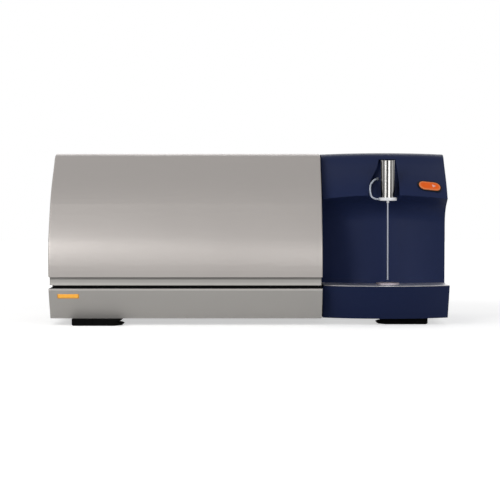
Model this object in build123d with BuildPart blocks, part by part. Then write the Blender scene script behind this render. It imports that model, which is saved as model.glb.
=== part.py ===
from build123d import *
import os
from math import cos, pi, radians, sin, sqrt, tan

os.makedirs("parts", exist_ok=True)

# Milk analyzer for the bench: a silver service cover over the measuring bay, and a dark blue
# sampling unit with a bowed front beside it. Millimetres. X runs to the right, Y to the back
# and Z up. The origin is on the bench, under the middle of the instrument.

# Overall layout
cover_width = 581.8
sampler_width = 270.0
unit_gap = 2.6
body_depth = 476.0
tray_proud = 4.0
foot_height = 14.6
pan_height = 66.1
finger_slot = 7.1
skirt_reveal = 17.4
cover_height = 263.5
head_rise = 1.6
overrun = 20.0
fit_gap = 0.3
snug_gap = 0.1
pivot_gap = 0.05

# Leaning face shared by the cover and the sampler housing
face_height = 208.7
face_depth = 205.0
face_shares = ((0.044, 0.125), (0.18, 0.364), (0.429, 0.671), (0.771, 0.925))

# Service cover, its grip rail and its hinges
cover_wall = 2.5
cover_edge = 4.0
cover_tuck = 5.0
cover_flange = 18.0
rail_recess = 12.0
rail_wall = 3.0
rail_lip = 14.0
rail_lap = 8.0
side_lap = 20.0
hinge_radius = 5.0
hinge_pin_radius = 2.0
hinge_width = 80.0
hinge_leaf = 2.0
hinge_leaf_drop = 32.0
hinge_leaf_reach = 26.0
hinge_flange_gap = 1.5
hinge_side_gap = 1.0
hinge_share = 0.5
hinge_place_shares = (0.16, 0.84)

# Base pan, deck and panels of the measuring bay
pan_recess = 10.0
pan_undercut = 48.0
pan_wall = 2.0
pan_rim = 24.0
deck_thickness = 2.0
deck_upstand = 14.0
deck_gap = 1.7
panel_thickness = 2.0
niche_depth = 16.0
panel_drop = 16.0
partition_inset = 9.0
rest_length = 24.0
deck_hole = 90.0
deck_hole_share = 0.62

# Sampling unit: bowed front, cove, recess and tray base
bow_depth = 42.0
crown_drop = 2.5
arch_drop = 10.5
head_proud = 9.3
head_wall = 3.0
head_wall_back = 4.0
lip_recess = 47.0
lip_height = 88.5
cove_depth = 73.0
cove_height = 56.0
cove_shares = ((0.25, 0.12), (0.5, 0.25), (0.88, 0.62))
cove_tangents = ((1, -0.2), (0.1, -1))
panel_lean = 1.0
station_shares = (-1.02, -0.7, -0.35, 0.0, 0.35, 0.7, 1.02)
tray_rise = 4.8
tray_base_undercut = 48.0
base_floor = 2.0
back_plate = 2.0
vent_count = 7
vent_share = 0.6
vent_width = 4.0
vent_height = 60.0

# Pipette station in the pocket of the sampler housing
needle_offset = 4.3
needle_recess = 75.0
needle_radius = 1.9
needle_rise = 6.0
tube_radius = 15.3
tube_wall = 1.5
tube_length = 79.6
tube_cap = 3.0
tube_slot = 8.0
slot_margin = 3.0
collar_radius = 19.5
collar_height = 6.8
collar_drop = 103.4
nozzle_radius = 2.8
nozzle_length = 5.0
pocket_depth = 24.0
pocket_drop = 14.3
pocket_height = 83.5
pocket_left = 43.0
pocket_right = 24.9
pocket_left_shares = ((1.0, 0.0), (0.95, 0.255), (0.87, 0.42), (0.72, 0.56), (0.5, 0.76), (0.4, 0.9), (0.36, 1.0))
pocket_right_shares = ((0.85, 1.0), (0.92, 0.8), (0.98, 0.45), (1.0, 0.0))
pocket_low = 30.0
hose_radius = 1.85
hose_fitting_radius = 3.0
hose_fitting_length = 12.0
hose_turn_share = 0.45
hose_entry_angle = 25.0

# Pipette lift inside the sampler housing
head_radius = 13.3
head_height = 14.0
head_lift = 2.5
arm_width = 7.0
arm_height = 8.0
wall_slot = 10.0
carriage_width = 32.0
carriage_depth = 30.0
carriage_height = 32.0
rail_width = 9.0
rail_depth = 10.0
rail_length = 140.0
lug_wall = 2.0
lug_height = 9.0
carriage_gap = 0.3
lift_recess = 231.0
carriage_clear = 1.0
bracket_wall = 3.0
bracket_width = 96.0
bracket_rise = 12.0
bracket_foot = 40.0
pulley_radius = 10.0
pulley_flange = 13.0
pulley_width = 8.0
pulley_flange_width = 1.2
pulley_offset = 30.0
pulley_drop = 18.3
pulley_span = 130.0
belt_thickness = 1.5
belt_width = 6.0
belt_plane = 24.0
shaft_radius = 2.5
motor_side = 42.0
motor_length = 40.0
motor_boss_radius = 11.0
motor_boss = 2.0

# Start button
button_offset = 95.8
button_drop = 72.7
button_length = 49.5
button_width = 24.0
button_proud = 2.0
button_depth = 9.0
button_tilt_share = -0.2
bezel_rim = 3.0
bezel_proud = 0.8
bezel_depth = 10.0
switch_depth = 10.0
switch_width = 14.0
stem_radius = 2.0
stem_length = 10.0
switch_flange = 2.0

# Status light
light_inset = 41.2
light_drop = 16.7
light_length = 46.5
light_height = 11.6
light_corner = 1.6
light_depth = 5.0
light_proud = 0.6
light_board_rim = 5.0
light_board_thickness = 1.6

# Drip tray and vial seat
tray_thickness = 1.5
tray_inset = 0.6
tray_pin_radius = 4.0
tray_pin_length = 4.0
tray_pin_spread = 180.0
tray_pin_recess = 60.0
seat_radius = 25.5
seat_height = 3.5
seat_dish_radius = 20.5
seat_dish_depth = 1.5
seat_edge = 0.8

# Feet
foot_length = 110.0
foot_depth = 60.0
foot_outline_shares = (
    (0.0, 1.0),
    (0.0, 0.15),
    (0.03, 0.0),
    (0.83, 0.0),
    (0.97, 0.12),
    (1.0, 0.25),
    (0.97, 0.38),
    (0.85, 0.58),
    (0.95, 0.78),
    (0.97, 0.88),
    (0.96, 1.0),
)
foot_rib_width = 3.0
foot_rib_depth = 1.5
foot_rib_shares = (0.25, 0.4, 0.68)
foot_inset_left = 102.2
foot_inset_right = 98.2
foot_front_left = 36.0
foot_front_right = 88.0
foot_rear = 40.0

# Couplings between the base pan and the sampler base
coupling_y_shares = (0.2, 0.8)
coupling_z_shares = (0.3, 0.75)
coupling_radius = 8.0
coupling_bolt_radius = 3.0
sleeve_radius = 14.0
sleeve_bore = 9.0
sleeve_flange = 2.0
sleeve_y_share = 0.55
sleeve_z_share = 0.5

# Modules in the measuring bay: places as shares of the bay, sizes as width, depth and height
optics_share = (0.29, 0.62)
optics_width = 190.0
optics_depth = 150.0
optics_height = 116.0
optics_wall = 8.0
optics_corner = 10.0
optics_lid = 6.0
optics_lid_rim = 3.0
optics_rib = 4.0
optics_ribs = 5
mount_radius = 10.0
mount_height = 14.0
mount_waist = 7.0
source_radius = 22.0
source_length = 40.0
source_core = 15.0
source_fins = 5
cell_width = 64.0
cell_depth = 38.0
cell_height = 58.0
cell_bore = 10.0
cell_edge = 3.0
detector_radius = 17.0
detector_length = 44.0
detector_flange = 23.0
detector_flange_width = 4.0
desiccant_radius = 20.0
desiccant_height = 58.0
desiccant_cap_radius = 23.0
desiccant_cap = 8.0
heater_share = (0.52, 0.3)
heater_width = 64.0
heater_depth = 56.0
heater_height = 84.0
heater_fin = 3.0
heater_fins = 6
pump_share = 0.32
pump_clear = 8.5
pump_width = 74.0
pump_depth = 58.0
pump_height = 50.0
pump_edge = 4.0
pump_motor_radius = 22.0
pump_motor_length = 92.0
valve_radius = 15.0
valve_height = 58.0
valve_nut_radius = 19.0
valve_nut = 14.0
drain_share = (0.88, 0.26)
drain_width = 62.0
drain_depth = 28.0
drain_height = 76.0
drain_wall = 6.0
drain_race = 24.0
drain_arm = 16.0
drain_roller = 7.0
drain_hub = 9.0
drain_shaft = 4.0
drain_motor_radius = 17.0
drain_motor_length = 42.0
manifold_share = (0.52, 0.12)
manifold_width = 128.0
manifold_depth = 30.0
manifold_height = 26.0
solenoid_radius = 11.0
solenoid_height = 34.0
solenoid_count = 4
supply_share = 0.85
supply_clear = 7.3
supply_width = 112.0
supply_depth = 176.0
supply_height = 62.0
supply_wall = 1.5
supply_slot = 3.0
supply_slots = 12
board_gap = 14.0
board_thickness = 1.6
standoff_radius = 3.0
board_inset = 8.0
chip_height = 3.0
chip_side_shares = (
    (0.3, 0.7, 0.3, 0.2),
    (0.7, 0.72, 0.2, 0.16),
    (0.3, 0.36, 0.22, 0.14),
    (0.7, 0.34, 0.28, 0.24),
)
plug_height = 9.0

# Rear panel fittings: places along the bay as shares of its width, heights above the deck
fan_share = 0.3
fan_z = 150.0
fan_side = 80.0
fan_depth = 25.0
fan_bore = 37.5
fan_corner = 6.0
fan_hub = 16.0
fan_blade_reach = 36.5
fan_blades = 7
fan_blade_thickness = 1.6
fan_blade_chord = 18.0
fan_pitch = 38.0
fan_spoke = 4.0
fan_stator = 3.0
grille_slot = 4.0
grille_slots = 9
inlet_share = 0.9
fitting_z = 40.0
inlet_width = 48.0
inlet_height = 27.0
inlet_depth = 24.0
inlet_flange = 2.5
inlet_recess = 16.0
inlet_wall = 3.0
inlet_pin = 2.0
inlet_pin_spread = 14.0
switch_share = 0.79
switch_frame_width = 28.0
switch_frame_height = 22.0
rocker_width = 20.0
rocker_height = 15.0
rocker_depth = 9.0
rocker_proud = 3.0
rocker_pin = 1.5
port_share = 0.64
port_width = 46.0
port_height = 16.0
port_depth = 18.0
port_recess = 12.0
bulkhead_shares = (0.08, 0.12, 0.16)
bulkhead_radius = 5.0
bulkhead_bore = 1.8
bulkhead_nut = 8.0
bulkhead_nut_width = 5.0
bulkhead_barb = 3.2
bulkhead_inside = 10.0

# Derived places
x_left = -(cover_width + unit_gap + sampler_width) / 2
x_cover_right = x_left + cover_width
x_head_left = x_cover_right + unit_gap
x_right = x_head_left + sampler_width
x_head = x_head_left + sampler_width / 2
y_rear = (body_depth + tray_proud) / 2
y_front = y_rear - body_depth
y_tray = y_front - tray_proud
z_base = foot_height
z_pan = z_base + pan_height
z_skirt = z_pan + finger_slot
z_cover = z_skirt + skirt_reveal
z_top = z_cover + cover_height
z_head = z_top + head_rise
x_bay_left = x_left + cover_wall
x_bay_right = x_cover_right - cover_wall
half_head = sampler_width / 2
bow_radius = (half_head**2 + bow_depth**2) / (2 * bow_depth)
y_face = y_front - head_proud
y_lip = y_front + lip_recess
z_lip = z_head - lip_height
x_needle = x_head + needle_offset
y_needle = y_front + needle_recess
z_tray = z_pan + tray_rise
light_z = z_pan - light_drop
button_z = z_head - button_drop
pocket_top = z_head - pocket_drop
collar_bottom = z_head - collar_drop
pulley_top = z_head - pulley_drop
pulley_bottom = pulley_top - pulley_span
bracket_top = pulley_top + bracket_rise
z_collar = collar_bottom + collar_height
z_tube_top = z_collar + tube_length


def bow(offset_x):
    """How far the bowed front lies behind its middle, at a distance from it along X"""
    return bow_radius - sqrt(bow_radius**2 - offset_x**2)


def face_points(y, z):
    """Points of the leaning face whose knee stands at y and whose top is at z"""
    low = z - face_height
    inner = [(y + a * face_depth, low + b * face_height) for a, b in face_shares]
    return [(y, low)] + inner + [(y + face_depth, z)]


def face_place(z):
    """Distance from the knee to the leaning face of the sampler housing, at a height, and its slope"""
    curve = Spline(*face_points(0, z_head), tangents=((0, 1), (1, 0)), mode=Mode.PRIVATE)
    low, high = 0.0, 1.0
    for _ in range(40):
        middle = (low + high) / 2
        if curve.position_at(middle).Y < z:
            low = middle
        else:
            high = middle
    point = curve.position_at(low)
    direction = curve.tangent_at(low)
    return point.X, direction.X / direction.Y


def tuck_place(z):
    """How far the cover's front lies behind its knee, at a height below it"""
    return cover_tuck * ((z_top - face_height - z) / (z_top - face_height - z_cover)) ** 2


def cover_outline(wall, z_low):
    """Side outline of the service cover, a wall inside it and down to a low edge"""
    y, z, y_back = y_front + wall, z_top - wall, y_rear - wall
    y_low, z_knee = y + cover_tuck, z - face_height
    with BuildLine(Plane.XY) as outline:
        if z_low < z_cover:
            Line((y_low, z_low), (y_low, z_cover))
        Bezier((y_low, z_cover), (y, (z_cover + z_knee) / 2), (y, z_knee))
        Spline(*face_points(y, z), tangents=((0, 1), (1, 0)))
        Polyline((y + face_depth, z), (y_back, z), (y_back, z_low), (y_low, z_low))
    return outline.line


def face_air(back, down):
    """Space in front of and above the bowed leaning face, moved back and down by a wall"""
    with BuildPart() as air:
        for share in station_shares:
            offset_x = share * half_head
            y = y_face + bow(offset_x) + back
            z = z_head - crown_drop * share**2 - down
            with BuildSketch(Plane.YZ.offset(x_head + offset_x)):
                with BuildLine():
                    Line((y, z_lip - overrun), (y, z - face_height))
                    Spline(*face_points(y, z), tangents=((0, 1), (1, 0)))
                    Polyline(
                        (y + face_depth, z),
                        (y_rear + overrun + bow_depth, z),
                        (y_rear + overrun + bow_depth, z_head + overrun),
                        (y_tray - body_depth, z_head + overrun),
                        (y_tray - body_depth, z_lip - overrun),
                        (y, z_lip - overrun),
                    )
                make_face()
        loft()
    return air.part


def cove_air(back, up):
    """Space under the bowed lip, in front of the cove and the recess panel"""
    with BuildPart() as air:
        for share in station_shares:
            offset_x = share * half_head
            y = y_lip + bow(offset_x) + back
            z = z_lip - arch_drop * share**2 + up
            curve = [(y + a * cove_depth, z - b * cove_height) for a, b in cove_shares]
            y_panel = y + cove_depth + panel_lean
            with BuildSketch(Plane.YZ.offset(x_head + offset_x)):
                with BuildLine():
                    Spline((y, z), *curve, (y + cove_depth, z - cove_height), tangents=cove_tangents)
                    Polyline(
                        (y + cove_depth, z - cove_height),
                        (y_panel, z_tray - overrun),
                        (y_tray - body_depth, z_tray - overrun),
                        (y_tray - body_depth, z),
                        (y, z),
                    )
                make_face()
        loft()
    return air.part


def pocket_outline(grow):
    """Front outline of the pipette pocket, grown by a wall"""
    z_foot = pocket_top - pocket_height
    x_low = x_needle - grow
    x_high = x_needle + grow
    left = [(x_low - a * pocket_left, z_foot + b * pocket_height) for a, b in pocket_left_shares]
    right = [(x_high + a * pocket_right, z_foot + b * pocket_height) for a, b in pocket_right_shares]
    left[-1] = (left[-1][0], left[-1][1] + grow)
    right[0] = (right[0][0], right[0][1] + grow)
    with BuildLine(Plane.XY) as outline:
        Spline(*left)
        Line(left[-1], right[0])
        Spline(*right)
        z_end = z_foot - pocket_low
        Polyline(right[-1], (right[-1][0], z_end), (left[0][0], z_end), left[0])
    return outline.line


def pocket_space(grow, back, down):
    """Space of the pipette pocket, or of the wall round it"""
    with BuildPart() as space:
        with BuildSketch(Plane.XZ.offset(-y_rear)):
            make_face(pocket_outline(grow))
        extrude(amount=body_depth + overrun)
        add(face_air(back, down), mode=Mode.INTERSECT)
    return space.part


# Service cover: one folded shell with side walls and a flange down its rear edge
with BuildPart() as service_cover:
    with BuildSketch(Plane.YZ.offset(x_left)):
        make_face(cover_outline(0, z_cover))
    extrude(amount=cover_width)
    side_faces = service_cover.faces().sort_by(Axis.X)
    side_edges = side_faces[0].edges() + side_faces[-1].edges()
    high_edges = side_edges.filter_by(lambda edge: edge.center().Z > z_cover + cover_edge)
    soft_edges = high_edges.filter_by(lambda edge: edge.center().Y < y_rear - cover_edge)
    fillet(soft_edges, radius=cover_edge)
    with BuildSketch(Plane.YZ.offset(x_bay_left)):
        make_face(cover_outline(cover_wall, z_cover - overrun))
    extrude(amount=cover_width - 2 * cover_wall, mode=Mode.SUBTRACT)
    with BuildSketch(Plane.XZ.offset(-y_rear - overrun)):
        with Locations(((x_bay_left + x_bay_right) / 2, (z_cover - overrun + z_top - cover_flange) / 2)):
            Rectangle(x_bay_right - x_bay_left, z_top - cover_flange - z_cover + overrun)
    extrude(amount=overrun + 2 * cover_wall, mode=Mode.SUBTRACT)
service_cover.part.label = "service_cover"
export_step(service_cover.part, "parts/service_cover.step")

# Grip rail: the recessed strip under the cover's front edge, with skirts along both sides
y_rail = y_front + rail_recess
z_rail_top = z_cover + rail_lap
y_lap = y_front + cover_wall + tuck_place(z_rail_top - rail_wall)
with BuildPart() as cover_grip_rail:
    with BuildSketch(Plane.YZ.offset(x_bay_left)):
        with BuildLine():
            Polyline(
                (y_rail, z_skirt),
                (y_rail + rail_lip, z_skirt),
                (y_rail + rail_lip, z_skirt + rail_wall),
                (y_rail + rail_wall, z_skirt + rail_wall),
                (y_rail + rail_wall, z_rail_top),
                (y_lap, z_rail_top),
                (y_lap, z_rail_top - rail_wall),
                (y_rail, z_rail_top - rail_wall),
                close=True,
            )
        make_face()
    extrude(amount=x_bay_right - x_bay_left)
    for x_skirt in (x_bay_left, x_bay_right - rail_wall):
        with BuildSketch(Plane.YZ.offset(x_skirt)):
            with BuildLine():
                Polyline(
                    (y_rail, z_skirt),
                    (y_rear - 2 * cover_wall, z_skirt),
                    (y_rear - 2 * cover_wall, z_cover + side_lap),
                    (y_rail, z_cover + side_lap),
                    close=True,
                )
            make_face()
        extrude(amount=rail_wall)
cover_grip_rail.part.label = "cover_grip_rail"
export_step(cover_grip_rail.part, "parts/cover_grip_rail.step")

# Base pan: sheet pan with an undercut front, an inward rim and holes for light and couplings
y_pan_top = y_front + pan_recess
y_pan_low = y_pan_top + pan_undercut
pan_slant = sqrt(pan_undercut**2 + pan_height**2)
light_x = x_left + light_inset
light_back = (z_pan - light_z) * pan_undercut / pan_height
light_plane = Plane(
    origin=(light_x, y_pan_top + light_back, light_z),
    x_dir=(1, 0, 0),
    z_dir=(0, -pan_height / pan_slant, -pan_undercut / pan_slant),
)


def pan_outline(wall):
    """Side outline of the base pan, a wall inside it"""
    slant_wall = wall * pan_slant / pan_height
    with BuildLine(Plane.XY) as outline:
        Polyline(
            (y_pan_top + slant_wall, z_pan - wall),
            (y_pan_low + slant_wall, z_base + wall),
            (y_rear - wall, z_base + wall),
            (y_rear - wall, z_pan - wall),
            close=True,
        )
    return outline.line


z_coupling_low = z_base + coupling_z_shares[0] * pan_height
z_coupling_high = z_base + coupling_z_shares[1] * pan_height
coupling_places = [
    (y_front + a * body_depth, z) for a in coupling_y_shares for z in (z_coupling_low, z_coupling_high)
]
sleeve_place = (y_front + sleeve_y_share * body_depth, z_base + sleeve_z_share * pan_height)

with BuildPart() as base_pan:
    with BuildSketch(Plane.YZ.offset(x_left)):
        make_face(pan_outline(0))
    extrude(amount=cover_width)
    with BuildSketch(Plane.YZ.offset(x_left + pan_wall)):
        make_face(pan_outline(pan_wall))
    extrude(amount=cover_width - 2 * pan_wall, mode=Mode.SUBTRACT)
    with BuildSketch(Plane.XY.offset(z_pan - 2 * pan_wall)):
        with Locations(((x_left + x_cover_right) / 2, (y_pan_top + y_rear) / 2)):
            Rectangle(cover_width - 2 * pan_rim, y_rear - y_pan_top - 2 * pan_rim)
    extrude(amount=overrun, mode=Mode.SUBTRACT)
    with BuildSketch(light_plane):
        RectangleRounded(light_length + 2 * snug_gap, light_height + 2 * snug_gap, light_corner)
    extrude(amount=light_depth, both=True, mode=Mode.SUBTRACT)
    with BuildSketch(Plane.YZ.offset(x_cover_right - 2 * pan_wall)):
        with Locations(*coupling_places):
            Circle(coupling_bolt_radius)
        with Locations(sleeve_place):
            Circle(sleeve_radius)
    extrude(amount=overrun, mode=Mode.SUBTRACT)
base_pan.part.label = "base_pan"
export_step(base_pan.part, "parts/base_pan.step")

# Status light: a lens in the sloping front of the pan and its board behind
with BuildPart() as status_light_lens:
    with BuildSketch(light_plane.offset(light_proud - light_depth)):
        RectangleRounded(light_length, light_height, light_corner)
    extrude(amount=light_depth)
    front_face = status_light_lens.faces().sort_by(Axis(light_plane.origin, light_plane.z_dir))[-1]
    fillet(front_face.edges(), radius=light_proud / 2)
status_light_lens.part.label = "status_light_lens"
export_step(status_light_lens.part, "parts/status_light_lens.step")

with BuildPart() as status_light_board:
    with BuildSketch(light_plane.offset(light_proud - light_depth - light_board_thickness)):
        Rectangle(light_length + 2 * light_board_rim, light_height + light_board_rim)
    extrude(amount=light_board_thickness)
status_light_board.part.label = "status_light_board"
export_step(status_light_board.part, "parts/status_light_board.step")

# Sampler housing: bowed shell with the pipette pocket, the arm's slot and the button's hole
button_x = x_head + button_offset
crown_button = crown_drop * (button_offset / half_head) ** 2
reach_button, slope_button = face_place(button_z + crown_button)
slope_bow = button_offset / (bow_radius - bow(button_offset))
button_plane = Plane(
    origin=(button_x, y_face + reach_button + bow(button_offset), button_z),
    x_dir=(1, slope_bow, button_tilt_share),
    z_dir=(slope_bow, -1, slope_button),
)
bezel_length = button_length + 2 * fit_gap + 2 * bezel_rim
bezel_width = button_width + 2 * fit_gap + 2 * bezel_rim
hose_x = x_needle - 1.3 * tube_radius
hose_z = z_collar + tube_length / 2
hose_crown = crown_drop * ((hose_x - x_head) / half_head) ** 2
hose_y = y_face + face_place(hose_z + hose_crown)[0] + bow(hose_x - x_head) + pocket_depth
z_head_low = z_collar + head_lift
z_arm = z_head_low + head_height / 2

with BuildPart() as housing_hollow:
    with BuildSketch(Plane.XY.offset(z_tray - overrun)):
        with Locations((x_head, (y_front + y_rear + overrun) / 2)):
            Rectangle(sampler_width - 2 * head_wall, body_depth + overrun)
    extrude(amount=z_head - head_wall - z_tray + overrun)
    add(face_air(head_wall_back, head_wall), mode=Mode.SUBTRACT)
    add(cove_air(head_wall, head_wall), mode=Mode.SUBTRACT)
    add(pocket_space(head_wall, pocket_depth + head_wall_back, head_wall), mode=Mode.SUBTRACT)
    with BuildSketch(Plane.XY.offset(collar_bottom - pocket_low)):
        with Locations((x_needle, y_needle)):
            Circle(collar_radius + fit_gap + head_wall)
    extrude(amount=z_collar + head_wall - collar_bottom + pocket_low, mode=Mode.SUBTRACT)
    with BuildSketch(Plane.XY.offset(z_collar)):
        with Locations((x_needle, y_needle)):
            Circle(tube_radius + fit_gap + head_wall)
    extrude(amount=tube_length + head_wall, mode=Mode.SUBTRACT)

with BuildPart() as sampler_housing:
    with BuildSketch(Plane.XY.offset(z_tray)):
        with Locations((x_head, (y_front + y_rear) / 2)):
            Rectangle(sampler_width, body_depth)
    extrude(amount=z_head - z_tray)
    add(face_air(0, 0), mode=Mode.SUBTRACT)
    add(cove_air(0, 0), mode=Mode.SUBTRACT)
    add(housing_hollow.part, mode=Mode.SUBTRACT)
    add(pocket_space(0, pocket_depth, 0), mode=Mode.SUBTRACT)
    with BuildSketch(Plane.XY.offset(collar_bottom - pocket_low)):
        with Locations((x_needle, y_needle)):
            Circle(collar_radius + fit_gap)
    extrude(amount=collar_height + pocket_low, mode=Mode.SUBTRACT)
    with BuildSketch(Plane.XY.offset(collar_bottom)):
        with Locations((x_needle, y_needle)):
            Circle(tube_radius + fit_gap)
    extrude(amount=collar_height + tube_length, mode=Mode.SUBTRACT)
    with BuildSketch(Plane.XZ.offset(-y_needle)):
        with Locations((x_needle, z_collar + tube_length / 2)):
            Rectangle(wall_slot, tube_length - slot_margin)
    extrude(amount=-pocket_depth - face_depth / 2, mode=Mode.SUBTRACT)
    with BuildSketch(Plane.XZ.offset(-hose_y)):
        with Locations((hose_x, hose_z)):
            Circle(hose_fitting_radius + snug_gap)
    extrude(amount=hose_fitting_length, both=True, mode=Mode.SUBTRACT)
    with BuildSketch(button_plane):
        SlotOverall(bezel_length + 2 * snug_gap, bezel_width + 2 * snug_gap)
    extrude(amount=overrun, both=True, mode=Mode.SUBTRACT)
sampler_housing.part.label = "sampler_housing"
export_step(sampler_housing.part, "parts/sampler_housing.step")

# Sampler base: hollow blue base under the tray, bowed and undercut in front
undercut_slope = tray_base_undercut / (z_tray - z_base)


def base_air(back):
    """Space in front of the bowed and undercut sampler base, moved back by a wall"""
    with BuildPart() as air:
        for share in station_shares:
            y = y_tray + bow(share * half_head) + back
            with BuildSketch(Plane.YZ.offset(x_head + share * half_head)):
                with BuildLine():
                    Polyline(
                        (y - overrun * undercut_slope, z_tray + overrun),
                        (y + tray_base_undercut + overrun * undercut_slope, z_base - overrun),
                        (y_tray - body_depth, z_base - overrun),
                        (y_tray - body_depth, z_tray + overrun),
                        close=True,
                    )
                make_face()
        loft()
    return air.part


pin_offset = tray_pin_spread / 2
y_tray_pin = y_tray + bow(pin_offset) + tray_pin_recess
tray_pin_places = [(x_head - pin_offset, y_tray_pin), (x_head + pin_offset, y_tray_pin)]
y_lift = y_front + lift_recess

with BuildPart() as base_hollow:
    with BuildSketch(Plane.XY.offset(z_base - overrun)):
        with Locations((x_head, (y_tray + y_rear) / 2)):
            Rectangle(sampler_width - 2 * head_wall, body_depth + tray_proud - 2 * head_wall)
    extrude(amount=z_tray - head_wall - z_base + overrun)
    add(base_air(head_wall_back), mode=Mode.SUBTRACT)

with BuildPart() as sampler_base:
    with BuildSketch(Plane.XY.offset(z_base)):
        with Locations((x_head, (y_tray + y_rear) / 2)):
            Rectangle(sampler_width, body_depth + tray_proud)
    extrude(amount=z_tray - z_base)
    add(base_air(0), mode=Mode.SUBTRACT)
    add(base_hollow.part, mode=Mode.SUBTRACT)
    with BuildSketch(Plane.XY.offset(z_tray - 2 * head_wall)):
        with Locations(*tray_pin_places):
            Circle(tray_pin_radius + fit_gap)
        with Locations((x_head - half_head / 2, y_lift + bracket_foot)):
            RectangleRounded(bracket_foot, bracket_foot, bracket_wall)
    extrude(amount=overrun, mode=Mode.SUBTRACT)
    with BuildSketch(Plane.YZ.offset(x_head_left - head_wall)):
        with Locations(*coupling_places):
            Circle(coupling_bolt_radius)
        with Locations(sleeve_place):
            Circle(sleeve_radius)
    extrude(amount=3 * head_wall, mode=Mode.SUBTRACT)
sampler_base.part.label = "sampler_base"
export_step(sampler_base.part, "parts/sampler_base.step")

# Floor plate: closes the sampler base from below and carries its feet
floor_width = sampler_width - 2 * head_wall - snug_gap
floor_depth = body_depth + tray_proud - 2 * head_wall - snug_gap
with BuildPart() as sampler_floor:
    with BuildSketch(Plane.XY.offset(z_base)):
        with Locations((x_head, (y_tray + y_rear) / 2)):
            Rectangle(floor_width, floor_depth)
    extrude(amount=base_floor)
    add(base_air(head_wall_back + snug_gap), mode=Mode.SUBTRACT)
sampler_floor.part.label = "sampler_floor"
export_step(sampler_floor.part, "parts/sampler_floor.step")

# Back plate: closes the sampler housing behind, with a row of vent slots
back_width = sampler_width - 2 * head_wall - 2 * snug_gap
z_back_top = z_head - head_wall - crown_drop - snug_gap
with BuildPart() as sampler_back_plate:
    with BuildSketch(Plane.XZ.offset(-y_rear)):
        with Locations((x_head, (z_tray + z_back_top) / 2)):
            Rectangle(back_width, z_back_top - z_tray)
        with Locations((x_head, z_tray + vent_share * (z_back_top - z_tray))):
            with GridLocations(3 * vent_width, vent_height, vent_count, 1):
                SlotOverall(vent_height, vent_width, rotation=90, mode=Mode.SUBTRACT)
    extrude(amount=back_plate)
sampler_back_plate.part.label = "sampler_back_plate"
export_step(sampler_back_plate.part, "parts/sampler_back_plate.step")

# Drip tray: bowed steel plate between the front edge and the recess panel, on two locating pins
z_plate = z_tray + fit_gap
z_seat = z_plate + tray_thickness
with BuildPart() as drip_tray:
    with BuildSketch(Plane.XY.offset(z_plate)):
        with Locations((x_head, (y_tray + y_rear) / 2)):
            Rectangle(sampler_width - 2 * tray_inset, body_depth + tray_proud)
    extrude(amount=tray_thickness)
    add(base_air(tray_inset), mode=Mode.SUBTRACT)
    add(cove_air(-tray_inset, 0), mode=Mode.INTERSECT)
    with BuildSketch(Plane.XY.offset(z_plate - tray_pin_length)):
        with Locations(*tray_pin_places):
            Circle(tray_pin_radius)
    extrude(amount=tray_pin_length)
drip_tray.part.label = "drip_tray"
export_step(drip_tray.part, "parts/drip_tray.step")

# Vial seat: turned disc with a shallow dish, under the needle
with BuildPart() as vial_seat:
    with BuildSketch(Plane.XZ.offset(-y_needle)):
        with BuildLine():
            Polyline(
                (x_needle, z_seat),
                (x_needle + seat_radius, z_seat),
                (x_needle + seat_radius, z_seat + seat_height - seat_edge),
                (x_needle + seat_radius - seat_edge, z_seat + seat_height),
                (x_needle + seat_dish_radius + seat_dish_depth, z_seat + seat_height),
                (x_needle + seat_dish_radius, z_seat + seat_height - seat_dish_depth),
                (x_needle, z_seat + seat_height - seat_dish_depth),
                close=True,
            )
        make_face()
    revolve(axis=Axis((x_needle, y_needle, 0), (0, 0, 1)))
vial_seat.part.label = "vial_seat"
export_step(vial_seat.part, "parts/vial_seat.step")

# Guide tube: polished tube in the pocket, slotted behind for the arm, with a closed top
tube_bore = tube_radius - tube_wall
with BuildPart() as guide_tube:
    with BuildSketch(Plane.XY.offset(z_collar)):
        with Locations((x_needle, y_needle)):
            Circle(tube_radius)
            Circle(tube_bore, mode=Mode.SUBTRACT)
    extrude(amount=tube_length)
    with BuildSketch(Plane.XZ.offset(-y_needle)):
        with Locations((x_needle, z_collar + (tube_length - tube_cap) / 2)):
            Rectangle(tube_slot, tube_length - tube_cap - slot_margin)
    extrude(amount=-2 * tube_radius, mode=Mode.SUBTRACT)
    with BuildSketch(Plane.XY.offset(z_tube_top - tube_cap)):
        with Locations((x_needle, y_needle)):
            Circle(tube_radius)
    extrude(amount=tube_cap)
    chamfer(guide_tube.faces().sort_by(Axis.Z)[-1].edges(), length=tube_wall / 3)
guide_tube.part.label = "guide_tube"
export_step(guide_tube.part, "parts/guide_tube.step")

# Rinse collar: white ring under the guide tube, with a short nozzle round the needle
with BuildPart() as rinse_collar:
    with BuildSketch(Plane.XY.offset(collar_bottom)):
        with Locations((x_needle, y_needle)):
            Circle(collar_radius)
    extrude(amount=collar_height)
    chamfer(rinse_collar.edges().filter_by(GeomType.CIRCLE), length=seat_edge)
    with BuildSketch(Plane.XY.offset(collar_bottom - nozzle_length)):
        with Locations((x_needle, y_needle)):
            Circle(nozzle_radius)
    extrude(amount=nozzle_length)
    with BuildSketch(Plane.XY.offset(collar_bottom - nozzle_length)):
        with Locations((x_needle, y_needle)):
            Circle(needle_radius + fit_gap)
    extrude(amount=nozzle_length + collar_height, mode=Mode.SUBTRACT)
rinse_collar.part.label = "rinse_collar"
export_step(rinse_collar.part, "parts/rinse_collar.step")

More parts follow.
